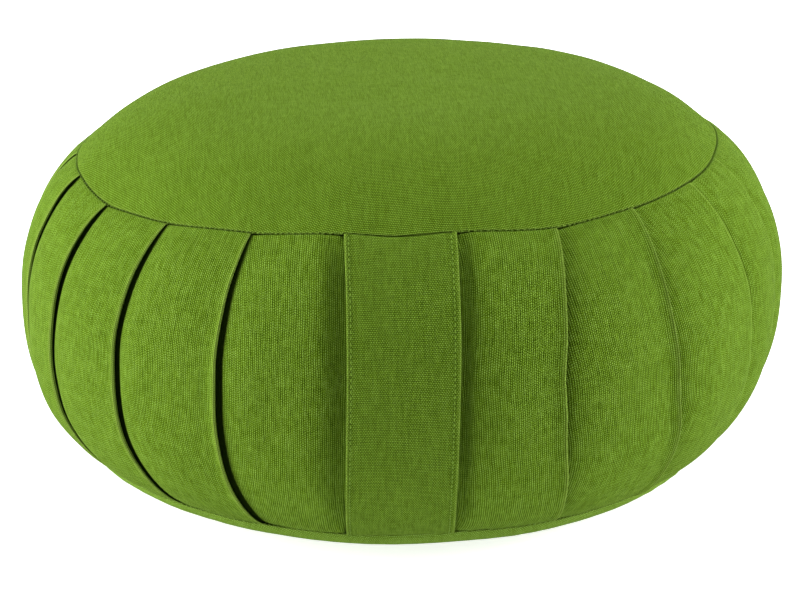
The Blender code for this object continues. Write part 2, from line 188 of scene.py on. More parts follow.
class Profile:
    """A line in the plane of radius and height, which turns into a surface round the Z axis.

    It runs from below to above, so that its outward normal is (climb, -run).
    """

    def __init__(self, radius: Array, height: Array) -> None:
        """Measure the line.

        Args:
            radius: radius of each of its points.
            height: height of each of its points.
        """
        run = np.gradient(radius)
        climb = np.gradient(height)
        step = np.hypot(run, climb)
        self.radius = radius
        self.height = height
        self.normal_out = climb / step
        self.normal_up = -run / step
        steps = np.hypot(np.diff(radius), np.diff(height))
        self.distance = np.concatenate(([0.0], np.cumsum(steps)))
        self.length = float(self.distance[-1])

    def at(self, distance: Array) -> tuple[Array, Array, Array, Array]:
        """Radius, height and both parts of the normal at distances along the line."""
        parts = (self.radius, self.height, self.normal_out, self.normal_up)
        return tuple(np.interp(distance, self.distance, part) for part in parts)

    def surface(self, distance: Array, azimuth: Array, depth: Array) -> Array:
        """Points of the turned surface, each moved in along the normal by its depth."""
        radius, height, out, up = self.at(distance)
        return turned(radius - depth * out, azimuth, height - depth * up)


@dataclass(frozen=True)
class Unevenness:
    """Slow swells of filled cloth: a sum of plane waves that run in random directions."""

    height: float
    shortest: float
    longest: float
    seed: int
    waves: int = 28

    def at(self, points: Array) -> Array:
        """Height of the cloth above its even form: a sum of cosines, longer waves being higher.

        Args:
            points: points of (..., 3).

        Returns:
            The height at each point, about +-height.
        """
        chance = np.random.default_rng(self.seed)
        way = chance.normal(size=(self.waves, 3))
        way /= np.linalg.norm(way, axis=1, keepdims=True)
        spread = chance.random(self.waves)
        length = self.shortest * (self.longest / self.shortest) ** spread
        phase = chance.uniform(0.0, 2.0 * math.pi, self.waves)
        turns = points @ (way * (2.0 * math.pi / length)[:, None]).T + phase
        weight = length / length.max()
        return self.height * (np.cos(turns) @ weight) / np.sqrt(0.5 * np.sum(weight**2))


@dataclass(frozen=True)
class Gathers:
    """Small ripples that a seam leaves in the cloth beside it: waves round the cushion."""

    height: float
    reach: float
    fewest: int
    most: int
    seed: int
    waves: int = 14
    start: float = 0.003

    def at(self, azimuth: Array, from_seam: Array) -> Array:
        """Height of the ripples, which die out as exp(-distance / reach).

        Args:
            azimuth: in degrees.
            from_seam: distance from the seam, in metres.

        Returns:
            The height at each place.
        """
        chance = np.random.default_rng(self.seed)
        count = chance.integers(self.fewest, self.most, self.waves)
        phase = chance.uniform(0.0, 2.0 * math.pi, self.waves)
        angle = np.radians(azimuth)
        ripple = np.zeros(np.shape(angle))
        for waves, start in zip(count, phase):
            ripple = ripple + np.cos(waves * angle + start)
        even = math.sqrt(0.5 * self.waves)
        return self.height * ripple / even * np.exp(-from_seam / self.reach)

    def onset(self, from_seam: Array) -> Array:
        """0 in the seam, easing to 1 where the ripples are whole."""
        return ease(from_seam / self.start)


# The form that all pieces share


class Wave(NamedTuple):
    """How far a seam strays from its circle at one azimuth, up and outward."""

    azimuth: float
    rise: float = 0.0
    reach: float = 0.0


TOP_SEAM_WAVES = (
    Wave(-180, rise=-0.0013),
    Wave(-110, rise=-0.0004),
    Wave(-78, rise=0.0006),
    Wave(-57, rise=-0.0033, reach=0.0006),
    Wave(-45, rise=-0.0020, reach=0.0004),
    Wave(-25, rise=0.0005),
    Wave(-9, rise=0.0031),
    Wave(0, rise=0.0021),
    Wave(9, rise=0.0028),
    Wave(26, rise=0.0001),
    Wave(42, rise=0.0014),
    Wave(60, rise=0.0028, reach=-0.0006),
    Wave(80, rise=0.0028, reach=-0.0028),
    Wave(120, rise=-0.0002),
    Wave(180, rise=-0.0013),
)
BOTTOM_SEAM_WAVES = (
    Wave(-180),
    Wave(-90, rise=-0.0002),
    Wave(-62, rise=-0.0004, reach=0.0024),
    Wave(-46, rise=-0.0009, reach=0.0004),
    Wave(-32, rise=-0.0014, reach=-0.0018),
    Wave(-20, rise=-0.0005, reach=-0.0012),
    Wave(-6, rise=0.0002),
    Wave(10, rise=0.0013),
    Wave(22, reach=-0.0006),
    Wave(36, rise=-0.0012, reach=-0.0024),
    Wave(60, rise=-0.0014, reach=-0.0024),
    Wave(90, rise=-0.0006, reach=-0.0004),
    Wave(180),
)


def wave_at(waves: tuple[Wave, ...], column: str, azimuth: Array) -> Array:
    """Read one column of a seam's waves at any azimuth, eased from row to row.

    Args:
        waves: the seam's waves.
        column: name of the column.
        azimuth: in degrees.

    Returns:
        The column's value at each azimuth.
    """
    table = np.array(waves)
    knots = table[:, 0]
    values = table[:, Wave._fields.index(column)]
    row = np.clip(np.searchsorted(knots, azimuth, side="right") - 1, 0, len(knots) - 2)
    share = ease((azimuth - knots[row]) / (knots[row + 1] - knots[row]))
    return values[row] * (1.0 - share) + values[row + 1] * share


@dataclass(frozen=True)
class CushionForm:
    """The plain turned form of the filled cushion, and how the sewn one strays from it."""

    bulge_radius: float = 0.1795
    seam_radius: float = 0.1512
    side_height: float = 0.1324
    crown_rise: float = 0.0327
    sole_rise: float = 0.0150
    rest_radius: float = 0.1027
    widest_share: float = -0.024
    side_fullness: float = 2.41
    side_roundness: float = 0.813
    crown_fullness: float = 4.5
    lean: float = 0.0029
    sway: float = 0.0014
    samples: int = 6001
    lumps: Unevenness = Unevenness(height=0.00022, shortest=0.022, longest=0.075, seed=11)

    @cached_property
    def side(self) -> Profile:
        """The side, from the bottom seam to the top seam.

        Its radius is the seam's and a swell of (1 - reach^fullness)^roundness, where reach is
        the distance from the widest place as a share of the distance from there to the seam.
        """
        share = self.side_shares
        above = (share - self.widest_share) / (1.0 - self.widest_share)
        below = (share - self.widest_share) / (1.0 + self.widest_share)
        reach = np.abs(np.where(share > self.widest_share, above, below))
        swell = np.maximum(1.0 - reach**self.side_fullness, 0.0) ** self.side_roundness
        radius = self.seam_radius + (self.bulge_radius - self.seam_radius) * swell
        height = self.sole_rise + self.side_height * (share + 1.0) / 2.0
        return Profile(radius, height)

    @cached_property
    def side_shares(self) -> Array:
        """The shares at which the side's line is worked out, closest at the seams."""
        return crowded(self.samples, crowding=1.0)

    @cached_property
    def crown(self) -> Profile:
        """The top, from its seam to its middle: the height falls as the radius^fullness."""
        share = np.linspace(1.0, 0.0, self.samples)
        height = self.sole_rise + self.side_height
        height = height + self.crown_rise * (1.0 - share**self.crown_fullness)
        return Profile(self.seam_radius * share, height)

    @cached_property
    def sole(self) -> Profile:
        """The underside, from its middle: flat to the patch's rim, then a quarter ellipse."""
        flat = np.linspace(0.0, self.rest_radius, self.samples // 2, endpoint=False)
        turn = np.linspace(0.0, 0.5 * math.pi, self.samples)
        rising = self.rest_radius + (self.seam_radius - self.rest_radius) * np.sin(turn)
        height = self.sole_rise * (1.0 - np.cos(turn))
        return Profile(np.append(flat, rising), np.append(np.zeros(len(flat)), height))

    def share_at(self, distance: Array) -> Array:
        """Share at distances up the side's line."""
        return np.interp(distance, self.side.distance, self.side_shares)

    def settle(self, points: Array) -> Array:
        """Move points of the plain turned form to where they lie on the sewn cushion.

        The top seam leans and waves, which dies out down the side and towards the middle of the
        top. The bottom seam waves, which dies out up the side and at the flat patch. The side
        sways by 6.75 up^2 (1 - up), most at two thirds of its height, and the filling makes slow
        lumps everywhere but on the floor.

        Args:
            points: points of (..., 3).

        Returns:
            The moved points.
        """
        x, y, z = np.moveaxis(points, -1, 0)
        radius = np.hypot(x, y)
        azimuth = np.degrees(np.arctan2(x, -y))
        up = np.clip((z - self.sole_rise) / self.side_height, 0.0, 1.0)
        out = np.clip(radius / self.seam_radius, 0.0, 1.0)
        span = self.seam_radius - self.rest_radius
        off_patch = np.clip((radius - self.rest_radius) / span, 0.0, 1.0)
        lift = self.lean * np.sin(np.radians(azimuth)) * up * out
        lift = lift + wave_at(TOP_SEAM_WAVES, "rise", azimuth) * up**2 * out**3
        falling = (1.0 - up) ** 2 * off_patch**3
        lift = lift + wave_at(BOTTOM_SEAM_WAVES, "rise", azimuth) * falling
        spread = wave_at(TOP_SEAM_WAVES, "reach", azimuth) * up**6 * out**3
        spread = spread + wave_at(BOTTOM_SEAM_WAVES, "reach", azimuth) * (1.0 - up) ** 2 * off_patch
        sideways = self.sway * 6.75 * up**2 * (1.0 - up)
        lump = self.lumps.at(points)
        off_floor = ease(z / self.sole_rise)
        scale = 1.0 + (spread + lump * off_floor * out**2) / np.maximum(radius, span)
        lift = lift + lump * off_floor * (1.0 - out**2)
        return np.stack((x * scale + sideways, y * scale, z + lift), axis=-1)


@dataclass(frozen=True)
class SeamEdge:
    """How the edge of a cloth turns into a seam: a quarter circle, and then straight in."""

    radius: float = 0.00065
    half_gap: float = 0.00019
    shade: float = 0.75
    steps: int = 6

    @property
    def start(self) -> float:
        """Distance from the seam at which the cloth starts to turn in."""
        return self.radius + self.half_gap

    def turn(self) -> tuple[Array, Array]:
        """Distances from the seam and depths, from level cloth to the end of the quarter."""
        angle = np.linspace(0.0, 0.5 * math.pi, self.steps + 1)[1:]
        from_seam = self.half_gap + self.radius * (1.0 - np.sin(angle))
        return from_seam, self.radius * (1.0 - np.cos(angle))


# The strap's line, and the seat that it presses into the side


@dataclass(frozen=True)
class StrapLine:
    """Where the strap lies on the side, and how deep the side gives way under it.

    Its methods take x, the place across the front, and the share up the side.
    """

    centre: float = 0.0004
    half_width: float = 0.0231
    thickness: float = 0.0020
    clearance: float = 0.0004
    proud: float = 0.0008
    proud_at_seam: float = 0.0002
    flatness: float = 0.4
    bend_radius: float = 0.1795
    seat_margin: float = 0.006
    seat_shoulder: float = 0.014
    margin_at_seam: float = -0.0012
    shoulder_at_seam: float = 0.0022
    shade_reach: float = 0.0009
    trough_depth: float = 0.0050
    trough_offset: float = 0.0024
    left_trough: float = 0.0082
    right_trough: float = 0.0042
    trough_power_above: float = 0.38
    trough_power_below: float = 0.80

    def beside(self, x: Array) -> Array:
        """Distance outside the strap's nearer edge, below 0 under the strap."""
        return np.abs(x - self.centre) - self.half_width

    def depth(self, x: Array, share: Array) -> Array:
        """Depth of the strap's outer face inside the plain side: -proud - flatness x^2 / 2r.

        Args:
            x: place across the front.
            share: place up the side, at whose middle the strap stands proudest.

        Returns:
            The depth, below 0 where the face is proud.
        """
        ends = self.proud_at_seam
        proud = ends + (self.proud - ends) * (1.0 - share**2)
        across = np.clip(x - self.centre, -self.half_width, self.half_width)
        return -proud - self.flatness * across**2 / (2.0 * self.bend_radius)

    def cover(self, x: Array, share: Array) -> Array:
        """How much of the side's own form the strap takes away.

        Args:
            x: place across the front.
            share: place up the side, towards whose ends the margin and shoulder narrow.

        Returns:
            1 under the strap and on the level part beside it, easing to 0 on the side.
        """
        open_share = 1.0 - np.asarray(share) ** 2
        margin = self.margin_at_seam + (self.seat_margin - self.margin_at_seam) * open_share
        widening = self.seat_shoulder - self.shoulder_at_seam
        beside = self.beside(x) - margin
        return 1.0 - ease(beside / (self.shoulder_at_seam + widening * open_share))

    def contact_shade(self, x: Array) -> Array:
        """Painted shade: 1 under the strap and right beside its edges, where no light comes."""
        return 1.0 - ease(self.beside(x) / self.shade_reach)

    def seat(self, x: Array, share: Array) -> Array:
        """Depth of the seat, with a trough along each edge of the strap.

        Args:
            x: place across the front.
            share: place up the side, towards whose ends the trough runs out.

        Returns:
            The depth.
        """
        open_share = 1.0 - np.asarray(share) ** 2
        level = self.depth(x, share) + self.thickness + self.clearance
        from_trough = self.beside(x) - self.trough_offset
        width = np.where(x < self.centre, self.left_trough, self.right_trough)
        trough = 1.0 - ease(np.abs(from_trough) / width)
        power = np.where(share > 0.0, self.trough_power_above, self.trough_power_below)
        return level * self.cover(x, share) + self.trough_depth * open_share**power * trough


# Finishes


class Wiring:
    """Adds nodes to a material and joins them."""

    def __init__(self, material: bpy.types.Material) -> None:
        """Keep the material's node tree.

        Args:
            material: the material, which has just its output and shader nodes.
        """
        self.tree = material.node_tree

    def add(self, kind: str, inputs: dict[str, object], **settings: object) -> bpy.types.Node:
        """Add a node.

        Args:
            kind: its Blender type.
            inputs: a value or an output socket for each named input.
            settings: the node's own settings.

        Returns:
            The node.
        """
        node = self.tree.nodes.new(kind)
        for name, value in settings.items():
            setattr(node, name, value)
        for name, value in inputs.items():
            self.feed(node.inputs[name], value)
        return node

    def feed(self, socket: Socket, value: object) -> None:
        """Join an output socket to an input, or set the input to a value."""
        if isinstance(value, Socket):
            self.tree.links.new(value, socket)
        else:
            socket.default_value = value

    def math(self, operation: str, *values: object) -> Socket:
        """Add a Math node.

        Args:
            operation: what it works out.
            values: one, two or three values or sockets.

        Returns:
            Its result.
        """
        node = self.tree.nodes.new("ShaderNodeMath")
        node.operation = operation
        for socket, value in zip(node.inputs, values):
            self.feed(socket, value)
        return node.outputs[0]

    def noise(self, where: object, scale: float, detail: float) -> Socket:
        """Noise between 0 and 1 at a vector socket, with features a unit and octaves."""
        inputs = {"Vector": where, "Scale": scale, "Detail": detail}
        return self.add("ShaderNodeTexNoise", inputs).outputs["Fac"]

    def place(self, x: object, y: object, z: object = 0.0) -> Socket:
        """A vector made of three values or sockets."""
        return self.add("ShaderNodeCombineXYZ", {"X": x, "Y": y, "Z": z}).outputs[0]

    def cloth(self) -> tuple[Socket, Socket, Socket]:
        """The place on the cloth in metres, as a vector and as its parts U and V."""
        weave = self.add("ShaderNodeUVMap", {}, uv_map=WEAVE_MAP).outputs["UV"]
        parts = self.add("ShaderNodeSeparateXYZ", {"Vector": weave}).outputs
        return weave, parts["X"], parts["Y"]

    def mixed(self, factor: object, first: object, second: object) -> Socket:
        """Mix two colours.

        Args:
            factor: share of the second one.
            first: a colour or a colour socket.
            second: another.

        Returns:
            The colour between them.
        """
        node = self.tree.nodes.new("ShaderNodeMix")
        node.data_type = "RGBA"
        self.feed(node.inputs["Factor"], factor)
        colors = [socket for socket in node.inputs if socket.type == "RGBA"]
        for socket, value in zip(colors, (first, second)):
            self.feed(socket, value if isinstance(value, Socket) else (*value, 1.0))
        return next(socket for socket in node.outputs if socket.type == "RGBA")

    def emboss(self, shader: bpy.types.Node, height: Socket, relief: float) -> None:
        """Feed the shader's normal with a bump of a height that is multiplied by a relief."""
        bump = {"Height": height, "Distance": relief, "Strength": 1.0}
        self.feed(shader.inputs["Normal"], self.add("ShaderNodeBump", bump).outputs[0])


def new_material(name: str) -> tuple[bpy.types.Material, Wiring, bpy.types.Node]:
    """Make a material with nodes.

    Args:
        name: name of the material.

    Returns:
        The material, its wiring and its shader node.
    """
    material = bpy.data.materials.new(name)
    material.use_nodes = True
    return material, Wiring(material), material.node_tree.nodes["Principled BSDF"]


@dataclass(frozen=True)
class CanvasFinish:
    """Matt ribbed cotton canvas: a plain weave of thick ribs crossed by finer threads.

    On the cloth's own map the ribs run along V and follow each other along U.
    """

    name: str
    pale: Color = (0.178, 0.292, 0.058)
    middle: Color = (0.0815, 0.148, 0.0062)
    deep: Color = (0.0145, 0.0320, 0.0001)
    # Pale colour of scuffing and painted highlight, on folded edges, the strap's edges and the panels'
    # rims.
    painted_light_and_wear: Color = (0.23, 0.34, 0.06)
    # Painted shade: the near-black colour mixed in inside the pleats' gaps, under and beside the strap,
    # at its ends and in the seams.
    hidden: Color = (0.0110, 0.0235, 0.0010)
    rib_pitch: float = 0.00092
    cross_pitch: float = 0.00050
    rib_share: float = 0.60
    cross_share: float = 0.26
    over_share: float = 0.27
    stagger: float = 3.0
    relief: float = 0.00022
    uneven_relief: float = 0.5
    wander: float = 0.00030
    wander_scale: float = 140.0
    yarn_length: float = 0.006
    rib_streak: float = 0.60
    rib_fineness: float = 1.6
    cross_streak: float = 0.20
    cross_fineness: float = 0.3
    speckle: float = 0.80
    speckle_scale: float = 1.8
    mottle: float = 0.07
    mottle_scale: float = 26.0
    lift: float = 0.0
    wear_and_highlight_gain: float = 1.0
    wear_and_highlight_on_ribs: float = 0.5
    wear_and_highlight_in_gaps: float = 0.2
    fleck: float = 0.35
    fleck_scale: float = 1500.0
    fleck_level: float = 0.735
    roughness: float = 0.95
    rib_shine: float = 0.10
    specular: float = 0.015
    sheen: float = 0.04
    sheen_roughness: float = 0.35
    sheen_tint: Color = (0.72, 1.0, 0.12)

    def material(self) -> bpy.types.Material:
        """The finish as a material.

        With r = cos(pi u / rib pitch) and c = cos(pi v / cross pitch), the product r c is 1 where
        a rib passes over a cross thread and -1 where it passes under. The height is the higher
        of the rib, rib_share |r| + over_share r c, and the cross thread, -cross_share r c. The
        height also darkens the gaps, as painted shade; uneven yarns, small flecks and slow
        blotches colour it too.

        Returns:
            The material.
        """
        material, wiring, shader = new_material(self.name)
        weave, along, up = wiring.cloth()
        shift = wiring.math("SUBTRACT", wiring.noise(weave, self.wander_scale, 2.0), 0.5)
        along = wiring.math("MULTIPLY_ADD", shift, self.wander, along)
        up = wiring.math("MULTIPLY_ADD", shift, -self.wander, up)
        rib_yarn = self.yarn(wiring, along, up, self.rib_pitch, self.rib_fineness)
        cross_yarn = self.yarn(wiring, up, along, self.cross_pitch, self.cross_fineness)
        height = self.weave_height(wiring, along, up, rib_yarn)

        cell = wiring.place(
            wiring.math("MULTIPLY", along, 1.0 / self.rib_pitch),
            wiring.math("MULTIPLY", up, 1.0 / self.cross_pitch),
        )
        dots = wiring.noise(cell, self.speckle_scale, 1.0)
        solid = wiring.add("ShaderNodeTexCoord", {}).outputs["Object"]
        blotch = wiring.noise(solid, self.mottle_scale, 4.0)
        # The tone starts from the weave's height, so the gaps between threads are darker: painted shade.
        tone = height
        uneven = (
            (rib_yarn, self.rib_streak),
            (cross_yarn, self.cross_streak),
            (dots, self.speckle),
            (blotch, self.mottle),
        )
        for source, weight in uneven:
            tone = wiring.math("MULTIPLY_ADD", wiring.math("SUBTRACT", source, 0.5), weight, tone)
        # A lift brightens the whole cloth; on the sole it is painted light from the floor below.
        tone = wiring.math("ADD", tone, self.lift)
        color = wiring.mixed(wiring.math("MULTIPLY", tone, 2.0), self.deep, self.middle)
        color = wiring.mixed(wiring.math("MULTIPLY_ADD", tone, 2.0, -1.0), color, self.pale)

        # Above 0 the attribute mixes in scuffing and painted highlight, more on the raised ribs.
        wear_and_painted_light = wiring.add("ShaderNodeAttribute", {}, attribute_name=WEAR_AND_PAINTED_LIGHT).outputs["Fac"]
        on_ribs, in_gaps = self.wear_and_highlight_on_ribs * self.wear_and_highlight_gain, self.wear_and_highlight_in_gaps * self.wear_and_highlight_gain
        wear_and_highlight = wiring.math("MULTIPLY_ADD", height, on_ribs, in_gaps)
        wear_and_highlight = wiring.math("MULTIPLY", wiring.math("MAXIMUM", wear_and_painted_light, 0.0), wear_and_highlight)
        color = wiring.mixed(wear_and_highlight, color, self.painted_light_and_wear)
        # Small pale flecks of lint, in the same pale colour.
        fleck = wiring.noise(weave, self.fleck_scale, 1.0)
        fleck = wiring.math("GREATER_THAN", fleck, self.fleck_level)
        color = wiring.mixed(wiring.math("MULTIPLY", fleck, self.fleck), color, self.painted_light_and_wear)
        # Below 0 the attribute mixes in painted shade.
        color = wiring.mixed(wiring.math("MULTIPLY", wear_and_painted_light, -1.0), color, self.hidden)
        wiring.feed(shader.inputs["Base Color"], color)

        roughness = wiring.math("MULTIPLY_ADD", height, -self.rib_shine, self.roughness)
        wiring.feed(shader.inputs["Roughness"], roughness)
        shader.inputs["Specular IOR Level"].default_value = self.specular
        shader.inputs["Sheen Weight"].default_value = self.sheen
        shader.inputs["Sheen Roughness"].default_value = self.sheen_roughness
        shader.inputs["Sheen Tint"].default_value = (*self.sheen_tint, 1.0)
        raised = wiring.math("MULTIPLY_ADD", rib_yarn, self.uneven_relief, height)
        raised = wiring.math("MULTIPLY_ADD", dots, self.uneven_relief, raised)
        wiring.emboss(shader, raised, self.relief)
        return material

    def weave_height(self, wiring: Wiring, along: Socket, up: Socket, rib_yarn: Socket) -> Socket:
        """Height of the weave, as material says.

        Args:
            wiring: the material's wiring.
            along: U, across the ribs.
            up: V, along the ribs.
            rib_yarn: tone of the ribs, by which the cross threads are staggered.

        Returns:
            The height, about -0.3 to 0.9.
        """
        rib_wave = wiring.math("COSINE", wiring.math("MULTIPLY", along, math.pi / self.rib_pitch))
        stagger = wiring.math("MULTIPLY_ADD", rib_yarn, self.stagger * self.cross_pitch, up)
        cross_wave = wiring.math("MULTIPLY", stagger, math.pi / self.cross_pitch)
        both = wiring.math("MULTIPLY", rib_wave, wiring.math("COSINE", cross_wave))
        over = wiring.math("MULTIPLY", both, self.over_share)
        rib = wiring.math("MULTIPLY_ADD", wiring.math("ABSOLUTE", rib_wave), self.rib_share, over)
        return wiring.math("MAXIMUM", rib, wiring.math("MULTIPLY", both, -self.cross_share))

    def yarn(
        self, wiring: Wiring, across: Socket, along: Socket, pitch: float, scale: float
    ) -> Socket:
        """Tone of the yarns: noise that changes across them and slowly along each.

        Args:
            wiring: the material's wiring.
            across: place across the yarns, in metres.
            along: place along them, in metres.
            pitch: from one yarn to the next, which also picks the noise's slice.
            scale: changes of tone a yarn.

        Returns:
            The tone, 0 to 1.
        """
        slices_per_metre = 1e4
        where = wiring.place(
            wiring.math("MULTIPLY", across, 1.0 / pitch),
            wiring.math("MULTIPLY", along, 1.0 / (scale * self.yarn_length)),
            pitch * slices_per_metre,
        )
        return wiring.noise(where, scale, 1.0)


@dataclass(frozen=True)
class ThreadFinish:
    """Twisted sewing thread: two plies that wind round each other, with a soft shine."""

    name: str
    color: Color = (0.16, 0.275, 0.025)
    deep: Color = (0.06, 0.11, 0.007)
    plies: float = 2.0
    turn_length: float = 0.0009
    relief: float = 0.00005
    roughness: float = 0.75
    ply_shine: float = 0.15
    specular: float = 0.10

    def material(self) -> bpy.types.Material:
        """The finish as a material: |sin| of the angle round plus the turns along the thread.

        Returns:
            The material.
        """
        material, wiring, shader = new_material(self.name)
        _, around, along = wiring.cloth()
        around = wiring.math("MULTIPLY", around, math.pi * self.plies)
        turns = wiring.math("MULTIPLY", along, math.pi * self.plies / self.turn_length)
        ply = wiring.math("ABSOLUTE", wiring.math("SINE", wiring.math("ADD", around, turns)))
        wiring.feed(shader.inputs["Base Color"], wiring.mixed(ply, self.deep, self.color))
        roughness = wiring.math("MULTIPLY_ADD", ply, -self.ply_shine, self.roughness)
        wiring.feed(shader.inputs["Roughness"], roughness)
        shader.inputs["Specular IOR Level"].default_value = self.specular
        wiring.emboss(shader, ply, self.relief)
        return material


@dataclass(frozen=True)
class FloorFinish:
    """The plain pale floor, which shines a little of itself so that it stays white."""

    name: str = "white_floor"
    color: Color = (0.66, 0.66, 0.66)
    grain: float = 0.985
    grain_scale: float = 3.0
    roughness: float = 0.9
    near_glow: float = 0.80
    far_glow: float = 0.90
    near: float = 0.6
    far: float = 2.4

    def material(self) -> bpy.types.Material:
        """The finish as a material: a faint grain, and a glow that grows with the distance.

        Returns:
            The material.
        """
        material, wiring, shader = new_material(self.name)
        solid = wiring.add("ShaderNodeTexCoord", {}).outputs["Object"]
        grain = wiring.noise(solid, self.grain_scale, 2.0)
        shade = tuple(self.grain * part for part in self.color)
        wiring.feed(shader.inputs["Base Color"], wiring.mixed(grain, shade, self.color))
        shader.inputs["Roughness"].default_value = self.roughness
        reach = wiring.add("ShaderNodeVectorMath", {0: solid}, operation="LENGTH").outputs["Value"]
        reach = wiring.math("SUBTRACT", reach, self.near)
        share = wiring.math("DIVIDE", reach, self.far - self.near)
        share = wiring.math("MINIMUM", wiring.math("MAXIMUM", share, 0.0), 1.0)
        glow = wiring.math("MULTIPLY_ADD", share, self.far_glow - self.near_glow, self.near_glow)
        shader.inputs["Emission Color"].default_value = WHITE
        wiring.feed(shader.inputs["Emission Strength"], glow)
        return material


BAND_CANVAS = CanvasFinish("band_canvas")
CROWN_CANVAS = CanvasFinish(
    "crown_canvas",
    stagger=0.8,
    rib_streak=0.20,
    cross_streak=0.40,
    cross_fineness=0.9,
    speckle=0.45,
    mottle=0.03,
    lift=-0.02,
)
# The sole's tone is lifted to paint the light that the white floor throws up on it: painted light.
SOLE_CANVAS_PAINTED_LIGHT = replace(CROWN_CANVAS, name="sole_canvas_painted_light", lift=0.22)
STRAP_CANVAS = CanvasFinish(
    "strap_canvas",
    rib_pitch=0.00076,
    rib_share=0.44,
    cross_share=0.38,
    over_share=0.50,
    stagger=0.5,
    rib_streak=0.35,
    cross_streak=0.45,
    cross_fineness=0.9,
    lift=0.025,
    wear_and_highlight_gain=1.6,
)
SEAM_THREAD_COLOR = (0.105, 0.185, 0.015)


# The pleated band


class Fold(NamedTuple):
    """One pleat's folded edge: where it starts, how it runs down the side, how far it opens.

    The slit is how far the next panel stands off from the edge, 0 where it lies closed under it.
    The roll is how far the cloth curls in before it reaches the edge, below 0 where it stands
    out. The dip is how deep the next panel sinks beside the edge. The skew moves the bow's widest
    place up.
    """

    azimuth: float
    twist: float
    bow: float
    opening: float
    slit: float
    roll: float
    dip: float
    skew: float = 0.0


FRONT_FOLDS = (
    Fold(azimuth=-87.0, twist=1.0, bow=-3.0, opening=1.0, slit=1.4, roll=0.0, dip=0.5),
    Fold(azimuth=-73.0, twist=1.5, bow=-2.4, opening=1.0, slit=1.5, roll=0.0, dip=0.45),
    Fold(azimuth=-57.9, twist=0.4, bow=-2.8, opening=1.0, slit=1.25, roll=0.0, dip=0.3),
    Fold(azimuth=-40.6, twist=1.0, bow=-3.4, opening=1.0, slit=0.9, roll=-0.2, dip=0.0),
    Fold(azimuth=-24.0, twist=1.3, bow=-2.2, opening=1.1, slit=0.58, roll=-1.0, dip=0.0),
    Fold(azimuth=-6.6, twist=0.0, bow=0.3, opening=0.2, slit=0.1, roll=0.3, dip=0.0),
    Fold(azimuth=6.9, twist=0.0, bow=-0.5, opening=0.35, slit=0.1, roll=0.3, dip=0.0),
    Fold(azimuth=25.4, twist=0.9, bow=-3.85, opening=0.9, slit=0.03, roll=-1.2, dip=0.9, skew=0.2),
    Fold(azimuth=40.4, twist=4.2, bow=-1.7, opening=0.9, slit=0.05, roll=-1.5, dip=0.4, skew=0.9),
    Fold(azimuth=56.8, twist=5.8, bow=0.9, opening=0.9, slit=0.5, roll=0.2, dip=0.2),
    Fold(azimuth=72.5, twist=4.5, bow=-1.5, opening=1.0, slit=0.2, roll=0.2, dip=0.0),
    Fold(azimuth=89.2, twist=2.0, bow=-2.5, opening=1.0, slit=0.5, roll=0.3, dip=0.0),
)


class GapPoint(NamedTuple):
    """A point of the cloth under a folded edge, on its way to the gap's root and out again.

    It lies back by a share of the tuck and down by a share of the mouth, and it follows an edge
    that stands out by the share flare.
    """

    back: float
    down: float
    flare: float = 0.0


GAP_POINTS = (
    GapPoint(back=0.30, down=0.02, flare=0.8),
    GapPoint(back=0.62, down=0.06, flare=0.5),
    GapPoint(back=0.90, down=0.14, flare=0.2),
    GapPoint(back=1.00, down=0.30),
    GapPoint(back=1.00, down=0.52),
    GapPoint(back=0.90, down=0.70),
    GapPoint(back=0.62, down=0.83),
    GapPoint(back=0.32, down=0.92),
    GapPoint(back=0.08, down=0.98),
)
ROOT_POINT = 4


@dataclass(frozen=True)
class PleatSizes:
    """A pleat's sizes at a seam, where it is sewn flat, and at mid-height, where it is open."""

    # The gap: the folded edge's thickness, the height under it and the depth behind it.
    sewn_lip: float = 0.0006
    open_lip: float = 0.0020
    sewn_mouth: float = 0.00035
    open_mouth: float = 0.0040
    closed_mouth: float = 0.16
    sewn_tuck: float = 0.0008
    open_tuck: float = 0.0065
    cut_width: float = 0.0800
    sharpness: float = 0.75
    breath: float = 0.10
    breath_turn: float = 2.7
    # The slit: how far the next panel stands off, and how its wall rises to a shoulder.
    open_slit: float = 0.0034
    narrowest_slit: float = 0.00001
    power_above: float = 0.35
    power_below: float = 0.65
    narrowing: float = 0.20
    wall_start: float = 0.05
    wall_span: float = 1.20
    shade_span: float = 1.85
    shoulder: float = 0.0007
    shoulder_lip: float = 0.0015
    shoulder_drop: float = 0.45
    full_drop: float = 0.6
    rise_span: float = 0.017
    # The roll of an edge that curls in, and the flare of one that stands out.
    roll_depth: float = 0.0015
    roll_span: float = 0.0055
    least_roll: float = 0.3
    flare_span: float = 0.0043
    low_flare: float = 0.7
    closed_slit: float = 0.1
    # The dip beside an edge, and the swell of the panel.
    dip_depth: float = 0.0032
    dip_span: float = 0.0084
    dip_power: float = 0.4
    dip_place: float = 0.40
    dip_reach: float = 0.9
    swell: float = 0.0010
    # The strip of scuffing and painted highlight along an edge.
    wear_and_highlight_extent: float = 0.0017
    open_wear_and_highlight_loss: float = 0.0005
    open_wear_and_highlight_slit: float = 0.0010
    curl_shelter: float = 4.0

    def between(self, sewn: float, opened: float, openness: Array, opening: Array) -> Array:
        """One size at each row and fold."""
        return (sewn + (opened - sewn) * openness[:, None]) * opening


class PleatRows(NamedTuple):
    """Sizes of all pleats at all rows of the side, each of rows by folds by 1.

    They are the width from a fold to the next one, the folded edge's thickness, the height and
    depth of the gap under it, how far the cloth has rolled in when it reaches the edge, how far
    the next panel's shoulder stands off from it, and how deep that panel sinks beside it.
    """

    width: Array
    lip: Array
    mouth: Array
    tuck: Array
    roll: Array
    slit: Array
    sink: Array


